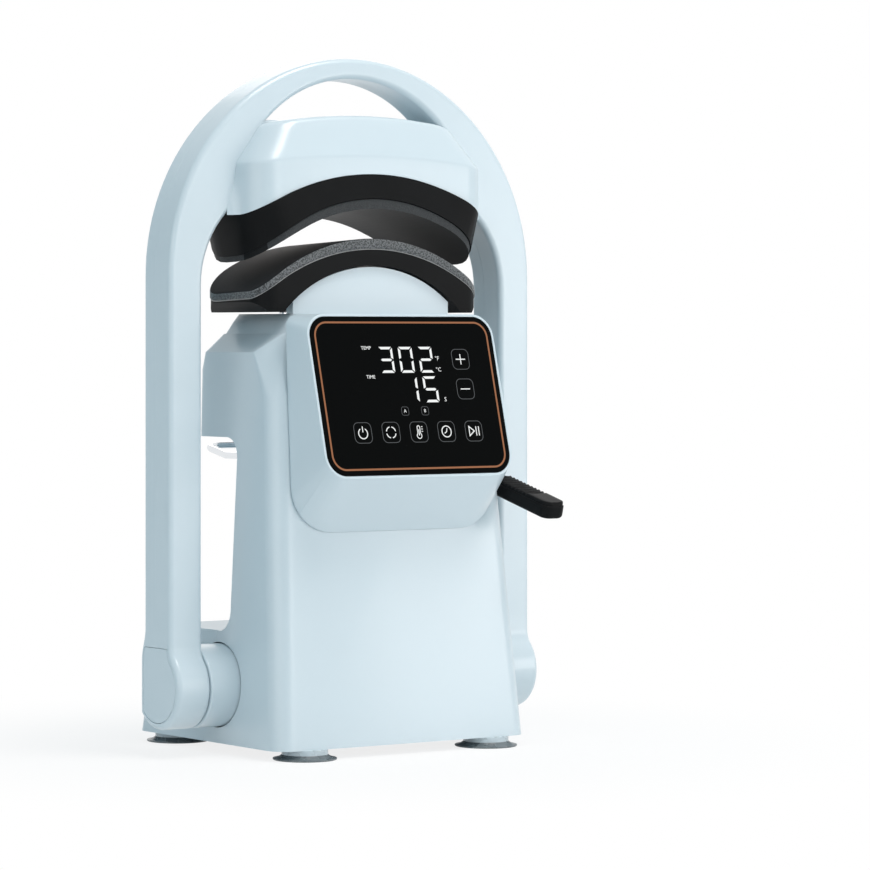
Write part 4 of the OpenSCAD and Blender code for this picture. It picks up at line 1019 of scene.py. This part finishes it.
def key_frame(size, corner, width):
    """Outline of a touch key: a rounded square."""
    reach = size / 2 - corner
    points = []
    for turn, (x, y) in enumerate(((reach, reach), (-reach, reach), (-reach, -reach), (reach, -reach))):
        points += arc((x, y), corner, 90 * turn, 90 * turn + 90, 6)
    return line(points, width, closed=True)


def key_signs(w):
    """Signs on the touch keys, drawn in millimetres with lines w wide, round the middle of each key."""
    tube = arc((0, 3.2), 1.1, 0, 180, 8) + arc((0, -2.6), 1.9, 125, 415, 16)
    return {
        "on_off": line(arc((0, -0.4), 3.6, 122, 418, 28), w) + line([(0, 0.4), (0, 4.4)], w),
        "cycle": sum((line(arc((0, 0), 3.8, start, start + 66, 10), w) for start in (12, 102, 192, 282)), []),
        "heat": line(tube, w * 0.8, closed=True) + line([(0, -2.4), (0, 1.8)], w)
        + sum((line([(2.2, y), (3.4, y)], w * 0.7) for y in (3.6, 2.0, 0.4)), []),
        "clock": line(arc((0, 0), 3.8, 0, 360, 32), w) + line([(0.6, 2.2), (0, -0.2), (-1.8, -1.2)], w * 0.9),
        "start": line([(-3.8, 3.2), (-3.8, -3.2), (0.4, 0)], w, closed=True)
        + line([(2.0, 3.2), (2.0, -3.2)], w) + line([(4.2, 3.2), (4.2, -3.2)], w),
        "more": line([(-3.9, 0), (3.9, 0)], w) + line([(0, -3.6), (0, 3.6)], w),
        "less": line([(-3.9, 0), (3.9, 0)], w),
    }


class CAPPRESS_OT_display(CapPressOperator, bpy.types.Operator):
    """Prints the lit figures, labels and touch keys on the sloped glass"""

    bl_idname = "cappress.display"
    bl_label = "Display"

    # Middle of each key and each label on the glass, in millimetres from the middle of its lower edge
    keys = {"on_off": (-43.9, 29), "cycle": (-21.0, 29), "heat": (1.9, 29), "clock": (24.8, 29),
            "start": (47.7, 29), "more": (45.6, 79.2), "less": (46.0, 58.4)}
    labels = {"TEMP": (-31.4, 87.2, 3.4), "TIME": (-30.8, 67.2, 3.4), "°F": (26.0, 79.8, 4.0),
              "°C": (26.0, 72.0, 4.0), "S": (28.0, 51.2, 4.2), "A": (-6.9, 43.5, 3.2), "B": (9.5, 43.5, 3.2)}
    figures = (("302", -21.6, 70.0), ("15", -4.9, 49.4))
    small_keys = ((-6.9, 43.5), (9.5, 43.5))
    # Width, height, thickness and gap of a figure's bars, and the step from figure to figure
    figure_size, figure_step = (11.4, 18, 1.7, 0.6), 16.3
    # Size, corner and line of the keys' frames, and the line of their signs
    key_size, small_key_size, sign_line = (14, 3.6, 0.4), (5.8, 1.6, 0.3), 0.7

    def build(self, sizes, look):
        low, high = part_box("panel_glass")
        lean = sizes.panel_tilt
        up = Vector((0, math.sin(lean), math.cos(lean)))
        out = Vector((0, -math.cos(lean), math.sin(lean)))
        origin = Vector((0, low[1], low[2] + sizes.glass_t * math.sin(lean)))
        glass = axes(origin, Vector((1, 0, 0)), up, out) @ Matrix.Scale(MM, 4)
        shapes = []
        bars = figure_bars(*self.figure_size)
        for word, u, v in self.figures:
            for i, digit in enumerate(word):
                shapes += moved([bars[bar] for bar in LIT_BARS[digit]], u + self.figure_step * i, v)
        signs = key_signs(self.sign_line)
        for name, (u, v) in self.keys.items():
            shapes += moved(signs[name], u, v)
        lit = self.print(shapes, glass)
        self.write_labels(lit, glass)
        self.laid("display_figures", lit, "figure")
        frames = []
        for places, size in ((self.keys.values(), self.key_size), (self.small_keys, self.small_key_size)):
            for u, v in places:
                frames += moved(key_frame(*size), u, v)
        self.laid("display_key_frames", self.print(frames, glass), "key_line")

    def print(self, shapes, glass):
        """Thin raised prints of flat shapes on the glass."""
        bm = bmesh.new()
        for shape in shapes:
            high = [bm.verts.new(glass @ Vector((x, y, 0.06))) for x, y in shape]
            low = [bm.verts.new(glass @ Vector((x, y, -0.05))) for x, y in shape]
            bm.faces.new(high)
            bm.faces.new(low[::-1])
            for i in range(len(shape)):
                j = (i + 1) % len(shape)
                bm.faces.new((high[j], high[i], low[i], low[j]))
        return bm

    def write_labels(self, bm, glass):
        """Adds the small words, set in the built-in letter."""
        for word, (u, v, size) in self.labels.items():
            letters = bpy.data.curves.new("label", "FONT")
            letters.body = word
            letters.size = size
            letters.align_x = "CENTER"
            letters.align_y = "CENTER"
            letters.extrude = 0.05
            letters.resolution_u = 2
            holder = bpy.data.objects.new("label", letters)
            bpy.context.scene.collection.objects.link(holder)
            ready = bpy.context.evaluated_depsgraph_get()
            mesh = bpy.data.meshes.new_from_object(holder.evaluated_get(ready), depsgraph=ready)
            mesh.transform(glass @ Matrix.Translation((u, v, 0.01)))
            bm.from_mesh(mesh)
            bpy.data.objects.remove(holder)
            bpy.data.curves.remove(letters)
            bpy.data.meshes.remove(mesh)

    def laid(self, name, bm, finish):
        bmesh.ops.recalc_face_normals(bm, faces=bm.faces)
        piece(name, baked(name, bm), "tower", finish, "light")


class CAPPRESS_OT_shells(CapPressOperator, bpy.types.Operator):
    """Rounds the edges of the moulded shells"""

    bl_idname = "cappress.shells"
    bl_label = "Shells"

    def build(self, sizes, look):
        for node in FINISH_NODES["shell"].split():
            if node not in OWN_SHAPES:
                softened(node, sizes.edge)


STEPS = (
    CAPPRESS_OT_stage,
    CAPPRESS_OT_nodes,
    CAPPRESS_OT_shells,
    CAPPRESS_OT_arch,
    CAPPRESS_OT_head,
    CAPPRESS_OT_pad,
    CAPPRESS_OT_fittings,
    CAPPRESS_OT_lever,
    CAPPRESS_OT_feet,
    CAPPRESS_OT_display,
)


class CAPPRESS_PT_panel(bpy.types.Panel):
    bl_idname = "CAPPRESS_PT_panel"
    bl_label = "Cap press"
    bl_space_type = "VIEW_3D"
    bl_region_type = "UI"
    bl_category = "Cap press"

    def draw(self, context):
        for group in (context.scene.cap_press_sizes, context.scene.cap_press_colours):
            for key in group.__annotations__:
                self.layout.prop(group, key)
        for step in STEPS:
            self.layout.operator(step.bl_idname)


CLASSES = (CapPressColours, CapPressSizes, *STEPS, CAPPRESS_PT_panel)


def register():
    for cls in CLASSES:
        bpy.utils.register_class(cls)
    bpy.types.Scene.cap_press_colours = PointerProperty(type=CapPressColours)
    bpy.types.Scene.cap_press_sizes = PointerProperty(type=CapPressSizes)


def unregister():
    del bpy.types.Scene.cap_press_sizes
    del bpy.types.Scene.cap_press_colours
    for cls in reversed(CLASSES):
        bpy.utils.unregister_class(cls)


def main():
    register()
    for step in STEPS:
        group, name = step.bl_idname.split(".")
        getattr(getattr(bpy.ops, group), name)()


if __name__ == "__main__":
    main()
